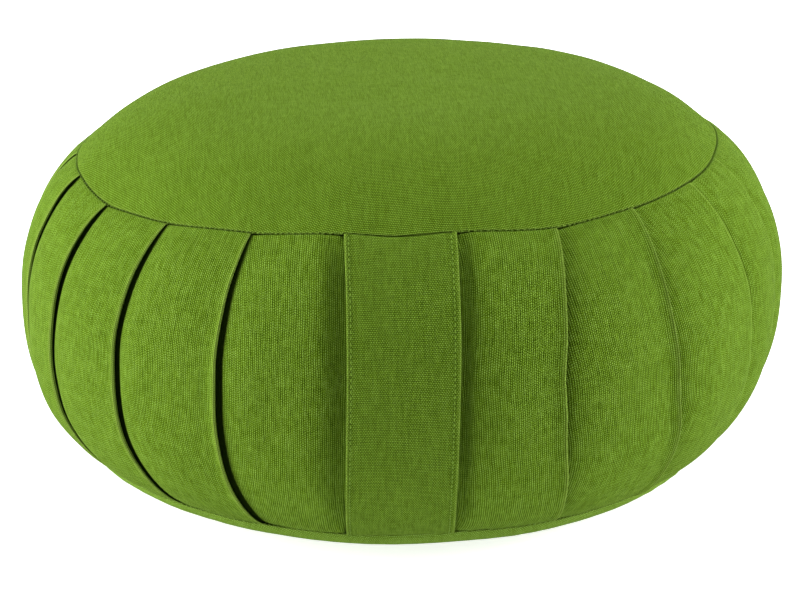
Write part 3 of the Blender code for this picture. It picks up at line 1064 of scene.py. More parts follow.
@dataclass
class PleatedBand:
    """The long band of the side, folded into knife pleats, round the filling.

    One ring of the band crosses each pleat as a path of points: round the folded edge, back
    under it to the root of the gap, out again and across the next panel to its own fold.
    """

    form: CushionForm
    strap: StrapLine
    edge: SeamEdge
    sizes: PleatSizes = PleatSizes()
    back_folds: int = 10
    back_spread: float = 0.9
    back_twist: float = 1.0
    back_bow: float = -2.4
    back_slit: tuple[float, float] = (0.3, 1.0)
    back_roll: float = 0.3
    back_seed: int = 3
    rows: int = 92
    row_crowding: float = 0.35
    nose_points: int = 7
    nose_start: float = -72.0
    panel_points: int = 24
    panel_crowding: float = 0.75
    panel_lag: float = 0.30
    panel_start: float = 0.12
    panel_end: float = 0.40
    sewn_lip_share: float = 0.3
    sewn_depth: float = 0.0012
    unfold_start: float = 0.0004
    unfold_span: float = 0.0014
    filling_depth: float = 0.0022
    filling_rows: int = 7
    filling_reach: tuple[float, float] = (0.05, 0.97)
    wander: Gathers = Gathers(height=0.06, reach=0.5, fewest=2, most=7, seed=5)
    wander_spread: float = 3.0
    wander_climb: float = 140.0
    ripples: Gathers = Gathers(height=0.00016, reach=0.007, fewest=40, most=120, seed=21)
    name: str = "band_cover"

    def folds(self) -> Fold:
        """All folds round the cushion: the front's own, and evenly uneven ones behind.

        Returns:
            One Fold, each field of which is an array of one value a fold.
        """
        first = FRONT_FOLDS[0].azimuth + 360.0
        last = FRONT_FOLDS[-1].azimuth
        spacing = (first - last) / (self.back_folds + 1)
        uneven = np.random.default_rng(self.back_seed)
        roll = self.back_roll
        back = []
        for index in range(self.back_folds):
            azimuth = last + spacing * (index + 1) + uneven.uniform(-1.0, 1.0) * self.back_spread
            twist = self.back_twist + uneven.uniform(-2.0, 2.0) * self.back_spread
            bow = self.back_bow + uneven.uniform(-1.0, 1.0) * self.back_spread
            slit = uneven.uniform(*self.back_slit)
            back.append(Fold(azimuth, twist, bow, opening=1.0, slit=slit, roll=roll, dip=0.0))
        return Fold(*np.array(FRONT_FOLDS + tuple(back)).T)

    def build(self) -> Piece:
        """Make the band's mesh, and close it with the filling's crown and sole.

        Returns:
            The band's object.
        """
        distance, turn_depth, folded = self.row_places()
        points, weave, wear_and_painted_light = self.side_surface(distance, turn_depth, folded)
        azimuth = np.degrees(np.arctan2(points[0, :, 0], -points[0, :, 1]))
        low = self.filling(self.form.sole, azimuth, from_end=True)
        high = self.filling(self.form.crown, azimuth, from_end=False)
        grid = np.concatenate((low, points, high))
        added = (len(low), len(high))
        weave = np.pad(weave, (added, (0, 0), (0, 0)), mode="edge")
        wear_and_painted_light = np.pad(wear_and_painted_light, (added, (0, 0)))
        middle = self.form.crown.height[-1] - self.filling_depth
        ends = tuple(np.array((0.0, 0.0, height)) for height in (self.filling_depth, middle))
        return closed_mesh(self.name, self.form.settle(grid), ends, weave, wear_and_painted_light)

    def row_places(self) -> tuple[Array, Array, Array]:
        """Where the rows lie: in the bottom seam, up the side, and in the top seam.

        Returns:
            Distance up the side, depth of the turned edge, and the share that is still folded.
        """
        length = self.form.side.length
        from_seam, depth = self.edge.turn()
        half = length / 2.0
        middle = half + (half - self.edge.start) * crowded(self.rows, self.row_crowding)
        inside = np.array((self.filling_depth, self.sewn_depth))
        level = np.full(len(inside), self.edge.half_gap)
        low = np.concatenate((level, from_seam[::-1]))
        low_depth = np.concatenate((inside, depth[::-1]))
        distance = np.concatenate((low, middle, length - low[::-1]))
        turn_depth = np.concatenate((low_depth, np.zeros(self.rows), low_depth[::-1]))
        folded = 1.0 - ease((turn_depth - self.unfold_start) / self.unfold_span)
        return distance, turn_depth, folded

    def fold_lines(self, folds: Fold, up: Array) -> Array:
        """Azimuth of each fold at each row: its start, its twist, its bow and a slow wander.

        Args:
            folds: all folds.
            up: share up the side, rows by 1.

        Returns:
            Azimuths in degrees, rows by folds.
        """
        mid = 1.0 - up**2
        line = folds.azimuth + folds.twist * (1.0 - up) / 2.0
        line = line + folds.bow * mid * (1.0 + folds.skew * up)
        where = folds.azimuth * self.wander_spread + self.wander_climb * up
        return line + self.wander.at(where, 0.0) * mid

    def pleat_rows(self, folds: Fold, line: Array, share: Array, radius: Array) -> PleatRows:
        """Sizes of the pleats, which open from both seams as (1 - share^2)^sharpness.

        Args:
            folds: all folds.
            line: azimuth of each fold at each row.
            share: share up the side of each row.
            radius: radius of each row.

        Returns:
            The sizes.
        """
        sizes = self.sizes
        up = share[:, None]
        openness = np.maximum(1.0 - share**2, 0.0) ** sizes.sharpness
        next_line = np.hstack((line[:, 1:], line[:, :1] + 360.0))
        width = np.radians(next_line - line) * radius[:, None]
        breath = 1.0 + sizes.breath * np.sin(sizes.breath_turn * up + folds.azimuth)
        lip = sizes.between(sizes.sewn_lip, sizes.open_lip, openness, folds.opening)
        tuck = sizes.between(sizes.sewn_tuck, sizes.open_tuck, openness, folds.opening)
        mouth = sizes.between(sizes.sewn_mouth, sizes.open_mouth, openness, folds.opening)
        closed = sizes.closed_mouth
        mouth = mouth * breath * (closed + (1.0 - closed) * np.minimum(folds.slit, 1.0))

        standing = openness ** np.where(share > 0.0, sizes.power_above, sizes.power_below)
        narrowing = 1.0 + sizes.narrowing * up
        slit = sizes.open_slit * standing[:, None] * narrowing * folds.slit * breath
        roll = sizes.roll_depth * openness[:, None] ** 0.5 * folds.roll
        opens_low = (folds.roll < 0.0) & (folds.slit > sizes.closed_slit)
        roll = roll * np.where(opens_low, 1.0 - sizes.low_flare * up, 1.0)
        highest = np.exp(-(((share - sizes.dip_place) / sizes.dip_reach) ** 2))
        sink = sizes.dip_depth * (openness**sizes.dip_power * highest)[:, None] * folds.dip
        parts = (width, lip, mouth + sink, tuck, roll, slit, sink)
        return PleatRows(*(part[:, :, None] for part in parts))

    def side_surface(
        self, distance: Array, turn_depth: Array, folded: Array
    ) -> tuple[Array, Array, Array]:
        """The band's points, its place on the cloth, and its scuffing, painted highlight and painted
        shade.

        Args:
            distance: of each row, up the side.
            turn_depth: how far each row has turned into a seam.
            folded: 1 on the open side and 0 deep inside a seam, where the pleats are gone.

        Returns:
            Points of rows by columns by 3, weave of rows by (columns + 1) by 2, and crease of
            rows by columns.
        """
        folds = self.folds()
        share = self.form.share_at(distance)
        up = share[:, None]
        radius, _, _, _ = self.form.side.at(distance)
        line = self.fold_lines(folds, up)
        pleats = self.pleat_rows(folds, line, share, radius)
        gap_around, gap_depth = self.gap_path(pleats)
        panel_around, panel_depth, swell = self.panel_path(pleats)
        swell = swell * (1.0 - share**2)[:, None, None]
        around = np.concatenate((gap_around, panel_around), axis=2)
        depth = np.concatenate((gap_depth, panel_depth), axis=2)
        swell = np.concatenate((np.zeros_like(gap_depth), swell), axis=2)
        weave_u = self.cloth_place(around, depth, pleats.width)
        wear_and_painted_light = self.wear_and_painted_light_of(around, pleats, folds.roll)

        rows = len(share)
        flat_share = np.linspace(-self.sewn_lip_share, self.sewn_lip_share, gap_around.shape[2])
        sewn_around = np.concatenate((pleats.lip * flat_share, panel_around), axis=2)
        fold_share = folded[:, None, None]
        around = around * fold_share + sewn_around * (1.0 - fold_share)
        azimuth = line[:, :, None] + np.degrees(around / radius[:, None, None])
        azimuth = azimuth.reshape(rows, -1)
        pleat_depth = (depth * fold_share).reshape(rows, -1)
        swell = (swell * fold_share).reshape(rows, -1)

        x = radius[:, None] * np.sin(np.radians(azimuth))
        frontal = np.cos(np.radians(azimuth))
        at_front = frontal > 0.0
        cover = np.where(at_front, self.strap.cover(x, up), 0.0)
        seat = np.where(at_front, self.strap.seat(x, up), 0.0)
        seated = 0.6
        seat = seat * np.minimum(folded[:, None] / seated, 1.0)
        to_seam = np.minimum(distance, self.form.side.length - distance)[:, None]
        ripple = self.ripples.at(azimuth, to_seam) * (1.0 - cover) * self.ripples.onset(to_seam)
        total = turn_depth[:, None] + pleat_depth + seat - swell * (1.0 - cover) - ripple
        points = self.form.side.surface(distance[:, None], azimuth, total)
        weave_u = weave_u + self.slack(x, seat, line.shape[1])
        weave = np.stack(np.broadcast_arrays(weave_u, distance[:, None]), axis=-1)
        # Painted shade under the strap and right beside its edges.
        contact_shade = np.where(at_front, self.strap.contact_shade(x), 0.0)
        wear_and_painted_light = np.minimum(wear_and_painted_light.reshape(rows, -1), 1.0 - 2.0 * contact_shade)
        # Painted shade in the seam's groove, strongest at the front, as the square of the cosine of the
        # azimuth.
        groove = ease(turn_depth[:, None] / self.edge.radius) * np.where(at_front, frontal**2, 0.0)
        return points, weave, wear_and_painted_light * (1.0 - groove) - self.edge.shade * groove

    def slack(self, x: Array, seat: Array, folds: int) -> Array:
        """Cloth that the trough beside the strap takes up, counted away from the strap.

        Args:
            x: place across the front, rows by columns.
            seat: depth of the trough and the strap's seat there.
            folds: number of folds, each of which starts the same number of columns.

        Returns:
            Lengths to add to the place on the cloth, rows by (columns + 1).
        """
        rows = len(x)
        x, seat = x.reshape(rows, folds, -1), seat.reshape(rows, folds, -1)
        across, down = np.diff(x, axis=2), np.diff(seat, axis=2)
        taken = np.hypot(across, down) - np.abs(across)
        total = np.concatenate((np.zeros((rows, folds, 1)), np.cumsum(taken, axis=2)), axis=2)
        on_right = x[:, :, -1:] > self.strap.centre + self.strap.half_width
        total = np.where(on_right, total - total[:, :, -1:], total).reshape(rows, -1)
        return np.hstack((total, total[:, :1]))

    def gap_path(self, pleats: PleatRows) -> tuple[Array, Array]:
        """Round the folded edge and under it: a half circle, the root, and the floor.

        The cloth under an edge that stands out does so less and less towards the root.

        Args:
            pleats: the pleats' sizes.

        Returns:
            Distances round from the fold and depths, rows by folds by points.
        """
        angle = np.radians(np.linspace(self.nose_start, 90.0, self.nose_points))
        half = pleats.lip / 2.0
        nose_around = half * (np.cos(angle) - 1.0)
        nose_depth = half * (1.0 + np.sin(angle))
        back, down, flare = np.array(GAP_POINTS).T
        under_around = -half - (pleats.tuck - half) * back
        under_depth = pleats.lip + pleats.mouth * down
        around = np.concatenate((nose_around, under_around), axis=2)
        depth = np.concatenate((nose_depth, under_depth), axis=2)
        share = np.append(np.ones(self.nose_points), flare)
        return around, depth + np.where(pleats.roll < 0.0, pleats.roll * share, pleats.roll)

    def panel_path(self, pleats: PleatRows) -> tuple[Array, Array, Array]:
        """Across a panel: up the slit's wall to a shoulder, gently on up, and down to the fold.

        With p the distance from the first fold, the rise from the shoulder is
        (1 - p / rise_span)^2. The dip and the roll at the far fold are squares too, and a flare
        there is a straight slope.

        Args:
            pleats: the pleats' sizes.

        Returns:
            Distances round from the first fold, depths, and how far the panel stands out, each
            rows by folds by points.
        """
        sizes = self.sizes
        lip = pleats.lip
        spread = np.linspace(0.0, 1.0, self.panel_points)
        even = crowded(self.panel_points, self.panel_crowding) + 1.0
        place = self.panel_lag * spread**2 + (1.0 - self.panel_lag) * even / 2.0
        next_lip = np.roll(lip, -1, axis=1)
        next_roll = np.roll(pleats.roll, -1, axis=1)
        start = self.panel_start * lip
        end = self.panel_end * next_lip
        around = start + (pleats.width - start - end) * place

        dropped = np.minimum(pleats.slit / (sizes.full_drop * sizes.open_slit), 1.0)
        floor = np.maximum(pleats.roll, 0.0) + lip + pleats.mouth
        shoulder = lip * (1.0 - sizes.shoulder_drop * dropped)
        shoulder = shoulder + sizes.shoulder * np.minimum(lip / sizes.shoulder_lip, 1.0)
        shoulder = np.minimum(shoulder + np.maximum(pleats.roll, 0.0), floor)
        wall = self.slit_wall(around, pleats.slit, sizes.wall_span)
        rising = np.clip(1.0 - around / sizes.rise_span, 0.0, 1.0) ** 2
        sinking = np.clip(1.0 - around / sizes.dip_span, 0.0, 1.0) ** 2
        depth = shoulder * rising + (floor - shoulder) * wall
        depth = np.maximum(depth, shoulder * rising + pleats.sink * sinking)

        flares = next_roll < 0.0
        deeper = (1.0 - sizes.least_roll) * next_roll / sizes.roll_depth
        curled = sizes.roll_span * (sizes.least_roll + deeper)
        span = np.where(flares, sizes.flare_span, curled)
        to_fold = (pleats.width - around) / span
        rolling = np.clip(1.0 - to_fold, 0.0, 1.0) ** np.where(flares, 1.0, 2.0)
        depth = depth + next_roll * rolling
        swell = sizes.swell * np.sin(math.pi * place)
        return around, depth, np.broadcast_to(swell, depth.shape)

    def slit_wall(self, around: Array, slit: Array, span: float) -> Array:
        """1 at the gap's floor, easing to 0 over a span of so many slits."""
        slits = around / np.maximum(slit, self.sizes.narrowest_slit)
        return 1.0 - ease((slits - self.sizes.wall_start) / span)

    def cloth_place(self, around: Array, depth: Array, width: Array) -> Array:
        """Where each point is along the cut band, in metres.

        The ribs follow the fold at each panel's end, so a panel's place counts back from that
        fold. Under a fold the cloth is measured along the path itself.

        Args:
            around: distances round from the fold, rows by folds by points.
            depth: depths, the same.
            width: from fold to fold, rows by folds by 1.

        Returns:
            Places, rows by (columns + 1).
        """
        rows, folds, points = around.shape
        steps = np.hypot(np.diff(around, axis=2), np.diff(depth, axis=2))
        path = np.concatenate((np.zeros((rows, folds, 1)), np.cumsum(steps, axis=2)), axis=2)
        first_panel = points - self.panel_points
        index = np.arange(folds)[None, :, None]
        fold_place = index * self.sizes.cut_width
        next_place = (index + 1) * self.sizes.cut_width
        on_panel = next_place - (width - around)
        start = on_panel[:, :, first_panel : first_panel + 1]
        out_again = start - (path[:, :, first_panel : first_panel + 1] - path)
        under_fold = fold_place + around[:, :, :1] + path
        point = np.arange(points)
        place = np.where(point < self.nose_points + ROOT_POINT, under_fold, out_again)
        flat = np.where(point >= first_panel, on_panel, place).reshape(rows, -1)
        return np.hstack((flat, flat[:, :1] + folds * self.sizes.cut_width))

    def wear_and_painted_light_of(self, around: Array, pleats: PleatRows, curl: Array) -> Array:
        """Scuffing and painted highlight, 1, round each folded edge; painted shade, -1, inside the gap.

        The scuffing and highlight fade onto the panel before the fold, over a wider strip before a
        closed fold than before an open one, and a fold that curls in gets less of them.

        Args:
            around: distances round from the fold, rows by folds by points.
            pleats: the pleats' sizes.
            curl: roll of each fold.

        Returns:
            The crease, rows by folds by points.
        """
        sizes = self.sizes
        points = around.shape[2]
        index = np.arange(points)
        wear_and_highlight = 1.0 / (1.0 + sizes.curl_shelter * np.maximum(curl, 0.0))
        # Painted shade, -1, from the underside of the nose back into the gap.
        on_nose = np.where(index < self.nose_points - 2, wear_and_highlight[:, None], -1.0)
        on_nose = np.broadcast_to(on_nose, around.shape)
        next_slit = np.roll(pleats.slit, -1, axis=1)
        loss = sizes.open_wear_and_highlight_loss * np.minimum(next_slit / sizes.open_wear_and_highlight_slit, 1.0)
        near_end = np.clip(1.0 - (pleats.width - around) / (sizes.wear_and_highlight_extent - loss), 0.0, 1.0)
        near_end = near_end * np.roll(wear_and_highlight, -1)[:, None]
        # Painted shade up the next panel's wall, out of the slit.
        wall = self.slit_wall(around, pleats.slit, sizes.shade_span)
        return np.where(index >= points - self.panel_points, near_end - wall, on_nose)

    def filling(self, profile: Profile, azimuth: Array, from_end: bool) -> Array:
        """Rows of the filling's own crown or sole, under a round panel.

        Args:
            profile: the panel's line.
            azimuth: of each column.
            from_end: True for the sole, whose line ends at its seam.

        Returns:
            Points, rows by columns by 3, from below to above.
        """
        share = np.linspace(*self.filling_reach, self.filling_rows)
        distance = profile.length * (share if from_end else 1.0 - share[::-1])
        return profile.surface(distance[:, None], azimuth[None, :], self.filling_depth)

    def dress(self, piece: Piece, finish: CanvasFinish) -> None:
        """Give the band its cloth and its place in the part.

        Args:
            piece: the band's object.
            finish: its cloth.
        """
        piece.data.materials.append(finish.material())
        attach(piece, "root")
        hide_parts("pleated_band")


# The round panels


class PanelEnd(Enum):
    """Which of the two round panels."""

    CROWN = "crown"
    SOLE = "sole"


@dataclass
class RoundPanel:
    """A round panel of cloth, stretched over the filling and sewn to the band at its rim."""

    form: CushionForm
    edge: SeamEdge
    end: PanelEnd
    thickness: float = 0.0016
    columns: int = 720
    outer_rows: int = 54
    outer_reach: float = 0.985
    outer_crowding: float = 1.45
    inner_rows: int = 9
    inner_reach: float = 0.97
    inner_start: float = 0.004
    weave_turn: float = 86.0
    wear_and_highlight_extent: float = 0.5
    wear_and_highlight_span: float = 0.0011
    seam_allowance: float = 0.010
    ripples: Gathers = Gathers(height=0.00012, reach=0.006, fewest=40, most=130, seed=31)

    @property
    def name(self) -> str:
        """Name of the panel's object."""
        return f"{self.end.value}_cover"

    @property
    def profile(self) -> Profile:
        """The panel's line."""
        return self.form.crown if self.end is PanelEnd.CROWN else self.form.sole

    def build(self) -> Piece:
        """Make the panel: out along its inner face to the rim, and back along its outer face.

        A sole goes the other way round, so that both have their faces pointing out.

        Returns:
            The panel's object.
        """
        from_seam, depth, ripple_share = self.section()
        length = self.profile.length
        if self.end is PanelEnd.SOLE:
            from_seam, depth, ripple_share = from_seam[::-1], depth[::-1], ripple_share[::-1]
            distance = length - from_seam
            heights = (0.0, self.thickness)
        else:
            distance = from_seam
            middle = self.form.crown.height[-1]
            heights = (middle - self.thickness, middle)
        azimuth = np.arange(self.columns) * 360.0 / self.columns
        ripple = self.ripples.at(azimuth[None, :], from_seam[:, None])
        ripple = ripple * ripple_share[:, None] * self.ripples.onset(from_seam)[:, None]
        total = depth[:, None] - ripple
        points = self.profile.surface(distance[:, None], azimuth[None, :], total)
        ends = tuple(np.array((0.0, 0.0, height)) for height in heights)

        round_again = np.append(azimuth, 360.0) + self.weave_turn
        from_middle = (length - from_seam)[:, None]
        angle = np.radians(round_again)[None, :]
        weave = np.stack((from_middle * np.sin(angle), -from_middle * np.cos(angle)), axis=-1)
        # Scuffing and painted highlight along the rim, beside the seam.
        rim = np.clip(1.0 - (from_seam - self.edge.half_gap) / self.wear_and_highlight_span, 0.0, 1.0)
        rim = rim * (depth < self.thickness)
        wear_and_painted_light = self.wear_and_highlight_extent * np.broadcast_to(rim[:, None], points.shape[:2])
        return closed_mesh(self.name, self.form.settle(points), ends, weave, wear_and_painted_light)

    def section(self) -> tuple[Array, Array, Array]:
        """The panel's section, from the middle of its inner face round the rim to the outer one.

        Returns:
            Distance from the seam, depth, and share of the ripples, row by row.
        """
        length = self.profile.length
        turn_from_seam, turn_depth = self.edge.turn()
        inner = np.linspace(self.inner_reach * length, self.inner_start, self.inner_rows)
        wall = np.array((self.edge.half_gap, self.edge.half_gap))
        wall_depth = np.array((self.thickness, 0.5 * (self.thickness + self.edge.radius)))
        spread = np.linspace(0.0, 1.0, self.outer_rows)
        span = self.outer_reach * length - self.edge.start
        outer = self.edge.start + span * spread**self.outer_crowding
        from_seam = np.concatenate((inner, wall, turn_from_seam[::-1], outer))
        inner_depth = np.full(len(inner), self.thickness)
        level = np.zeros(len(outer))
        depth = np.concatenate((inner_depth, wall_depth, turn_depth[::-1], level))
        hidden = np.zeros(len(from_seam) - len(outer))
        return from_seam, depth, np.concatenate((hidden, np.ones(len(outer))))

    def dress(self, piece: Piece, finish: CanvasFinish) -> None:
        """Give the panel its cloth and its place in the part.

        Args:
            piece: the panel's object.
            finish: its cloth.
        """
        piece.data.materials.append(finish.material())
        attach(piece, "root")
        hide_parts("top_panel" if self.end is PanelEnd.CROWN else "bottom_panel")


# The strap


@dataclass
class CarryStrap:
    """The flat strap, folded double and topstitched along both edges, from seam to seam."""

    form: CushionForm
    line: StrapLine
    rows: int = 300
    face_columns: int = 58
    face_crowding: float = 0.75
    edge_columns: int = 8
    edge_bulge: float = 0.6
    end_radius: float = 0.0010
    end_shade: float = 0.8
    left_row: float = 0.0018
    right_row: float = 0.0025
    row_width: float = 0.0008
    row_depth: float = 0.00022
    margin_puff: float = 0.00020
    margin_start: float = 0.3
    hole_radius: float = 0.00045
    hole_depth: float = 0.00028
    stitch_pitch: float = 0.0024
    wear_and_highlight_extent: float = 0.3
    wear_and_highlight_depth: float = 0.7
    wear_and_highlight_span: float = 0.0008
    seam_allowance: float = 0.005
    unevenness: Unevenness = Unevenness(height=0.00010, shortest=0.012, longest=0.05, seed=17)
    name: str = "carry_strap"

    def rows_x(self) -> tuple[float, float]:
        """Where the two rows of topstitching lie across the strap."""
        left = self.line.centre - self.line.half_width + self.left_row
        return left, self.line.centre + self.line.half_width - self.right_row

    def relief(self, x: Array, distance: Array) -> Array:
        """How far the face stands above its even form, beside and between the stitches.

        Each row lies in a soft groove, the margin outside it puffs up, and each needle hole
        makes a dimple.

        Args:
            x: place across.
            distance: up the side.

        Returns:
            The height at each place.
        """
        height = np.zeros(np.broadcast(x, distance).shape)
        inside = np.abs(x - self.line.centre) < self.line.half_width
        phase = np.cos(2.0 * math.pi * distance / self.stitch_pitch)
        for row_x, side in zip(self.rows_x(), (-1.0, 1.0)):
            from_row = (x - row_x) * side
            groove = np.exp(-((from_row / self.row_width) ** 2))
            margin = ease((from_row - self.margin_start * self.row_width) / self.row_width)
            hole = np.exp(-((from_row / self.hole_radius) ** 2)) * np.maximum(phase, 0.0) ** 3
            height = height - self.row_depth * groove + self.margin_puff * margin * inside
            height = height - self.hole_depth * hole
        return height

    def build(self) -> Piece:
        """Make the strap: columns go across its face, round one edge, back, and round the other.

        Returns:
            The strap's object.
        """
        across, deep, wear_and_painted_light = self.section()
        half = self.form.side.length / 2.0
        end = SeamEdge(radius=self.end_radius)
        from_seam, turn_depth = end.turn()
        middle = half + (half - end.start) * np.linspace(-1.0, 1.0, self.rows)
        distance = np.concatenate((from_seam[::-1], middle, 2.0 * half - from_seam))
        turn = np.concatenate((turn_depth[::-1], np.zeros(self.rows), turn_depth))
        x = np.broadcast_to(across[None, :], (len(distance), len(across)))
        depth = deep[None, :] + turn[:, None]
        points = self.surface(x, distance[:, None], depth, relief=deep == 0.0)
        ends = (points[0].mean(axis=0), points[-1].mean(axis=0))
        weave_x = np.append(across, across[0])
        weave = np.stack(np.broadcast_arrays(distance[:, None], weave_x[None, :]), axis=-1)
        # Painted shade: the strap darkens towards its ends, where they turn into the seams.
        sunk = ease(turn / (self.end_shade * self.end_radius))[:, None]
        painted_light_and_wear = wear_and_painted_light[None, :] * (1.0 - sunk) - sunk
        return closed_mesh(self.name, points, ends, weave, painted_light_and_wear)

    def section(self) -> tuple[Array, Array, Array]:
        """The strap's section: level faces, and edges of half an ellipse as deep as it is thick.

        Returns:
            Place across, depth below the outer face, and scuffing and painted highlight, column by
            column.
        """
        thickness = self.line.thickness
        bulge = self.edge_bulge * thickness / 2.0
        flat = self.line.half_width - bulge
        outer = self.line.centre + flat * crowded(self.face_columns, self.face_crowding)
        angle = np.linspace(0.0, math.pi, self.edge_columns + 2)[1:-1]
        right = self.line.centre + flat + bulge * np.sin(angle)
        left = self.line.centre - flat - bulge * np.sin(angle)
        edge_depth = thickness * (1.0 - np.cos(angle)) / 2.0
        across = np.concatenate((outer, right, outer[::-1], left))
        faces = (np.zeros(len(outer)), np.full(len(outer), thickness))
        depth = np.concatenate((faces[0], edge_depth, faces[1], edge_depth[::-1]))
        # Scuffing and painted highlight along the outer face's edges and round the rolled edges.
        to_edge = flat - np.abs(outer - self.line.centre)
        on_face = self.wear_and_highlight_extent * np.clip(1.0 - to_edge / self.wear_and_highlight_span, 0.0, 1.0)
        on_edge = np.clip(1.0 - edge_depth / (self.wear_and_highlight_depth * thickness), 0.0, 1.0)
        on_edge = self.wear_and_highlight_extent * on_edge
        wear_and_painted_light = np.concatenate((on_face, on_edge, 0.0 * on_face, on_edge[::-1]))
        return across, depth, wear_and_painted_light

    def surface(self, x: Array, distance: Array, deep: Array, relief: Array) -> Array:
        """Points of the strap.

        Args:
            x: place across.
            distance: up the side.
            deep: depth below the strap's outer face.
            relief: where the stitched relief is added, True or False.

        Returns:
            Points, on the sewn cushion.
        """
        share = self.form.share_at(distance)
        radius, height, out, up = self.form.side.at(distance)
        azimuth = np.degrees(np.arcsin(np.clip(x / radius, -1.0, 1.0)))
        depth = self.line.depth(x, share) + deep
        depth = depth - np.where(relief, self.relief(x, distance), 0.0)
        points = turned(radius - depth * out, azimuth, height - depth * up)
        ends_steepness = 1.6
        lumps = self.unevenness.at(points) * ease(ends_steepness * (1.0 - np.abs(share)))
        points = points + lumps[..., None] * np.array((0.0, -1.0, 0.0))
        return self.form.settle(points)

    def dress(self, piece: Piece, finish: CanvasFinish) -> None:
        """Give the strap its cloth and its place in the part.

        Args:
            piece: the strap's object.
            finish: its cloth.
        """
        piece.data.materials.append(finish.material())
        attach(piece, "root")
        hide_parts("handle_strap")


# The sewing


@dataclass
class Stitching:
    """Rows of short stitches, each a bent piece of thread that dips into the cloth at both ends."""

    name: str
    thread_radius: float = 0.00017
    rings: int = 6
    sides: int = 6
    tip: float = 0.25
    arch_power: float = 0.6
    taper_power: float = 0.35
    slot: str = "panel_cloth"
    strands: list[Array] = field(default_factory=list)

    def add(self, start: Array, end: Array, outward: Array, arch: float) -> None:
        """Add stitches from start to end, which arch outward between the two.

        The path is start + t (end - start) + arch sin(pi t)^arch_power outward, and the thread
        narrows to a tip at both ends.

        Args:
            start: where each stitch leaves the cloth, of (count, 3).
            end: where it goes back in.
            outward: the cloth's unit normal there.
            arch: how far the middle stands above the line from start to end.
        """
        share = np.linspace(0.0, 1.0, self.rings)
        bend = np.sin(math.pi * share) ** self.arch_power
        along = end - start
        span = np.linalg.norm(along, axis=1, keepdims=True)
        path = start[:, None] + along[:, None] * share[:, None]
        path = path + outward[:, None] * (arch * bend)[:, None]
        way = along / span
        side = np.cross(way, outward)
        side /= np.linalg.norm(side, axis=1, keepdims=True)
        above = np.cross(side, way)
        taper = self.tip + (1.0 - self.tip) * np.sin(math.pi * share) ** self.taper_power
        radius = self.thread_radius * taper
        angle = (np.arange(self.sides) * 2.0 * math.pi / self.sides)[None, None, :, None]
        ring = np.cos(angle) * above[:, None, None] + np.sin(angle) * side[:, None, None]
        self.strands.append(path[:, :, None] + ring * radius[None, :, None, None])

    def build(self) -> Piece:
        """Make all stitches as one joined mesh of closed strands.

        Returns:
            The stitches' object.
        """
        strands = np.concatenate(self.strands)
        count, rings, sides, _ = strands.shape
        index = np.arange(count * rings * sides).reshape(count, rings, sides)
        beside = np.roll(index, -1, axis=2)
        quads = np.stack((index[:, :-1], beside[:, :-1], beside[:, 1:], index[:, 1:]), axis=-1)
        caps = (index[:, 0, ::-1].ravel(), index[:, -1, :].ravel())
        corners = np.concatenate((quads.ravel(), *caps))
        sizes = np.concatenate((np.full(quads.size // 4, 4), np.full(2 * count, sides)))
        around = np.broadcast_to(np.arange(sides) / sides, index.shape)
        length = np.linalg.norm(strands[:, 1:, 0] - strands[:, :-1, 0], axis=-1).cumsum(axis=1)
        length = np.pad(length, ((0, 0), (1, 0)))
        along = np.broadcast_to(length[:, :, None], index.shape)
        place = np.stack((around.ravel(), along.ravel()), axis=-1)
        return new_piece(self.name, strands.reshape(-1, 3), corners, sizes, place[corners])

    def dress(self, piece: Piece, finish: ThreadFinish) -> None:
        """Give the stitches their thread and their place in the part.

        Args:
            piece: the stitches' object.
            finish: their thread.
        """
        piece.data.materials.append(finish.material())
        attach(piece, "root")


def outward_at(points: Array) -> Array:
    """Unit directions away from the cushion's middle, which is near enough for a stitch."""
    middle_height = 0.085
    away = points - np.array((0.0, 0.0, middle_height))
    return away / np.linalg.norm(away, axis=-1, keepdims=True)


def topstitches(strap: CarryStrap, gap_share: float = 0.14, arch: float = 0.00026) -> Stitching:
    """The two rows along the strap's edges: a stitch between each needle hole and the next.

    Args:
        strap: the strap.
        gap_share: how far a stitch starts from its hole, as a share of the pitch.
        arch: how high a stitch stands.

    Returns:
        The stitches.
    """
    sewing = Stitching("strap_topstitches", thread_radius=0.00028, slot="strap_cloth")
    pitch = strap.stitch_pitch
    gap = gap_share * pitch
    holes = np.arange(pitch, strap.form.side.length - pitch, pitch)
    level, stitched = np.zeros(len(holes)), np.ones(len(holes), bool)
    for row_x in strap.rows_x():
        x = np.full(len(holes), row_x)
        start = strap.surface(x, holes + gap, level, relief=stitched)
        end = strap.surface(x, holes + pitch - gap, level, relief=stitched)
        sewing.add(start, end, outward_at(start), arch)
    return sewing


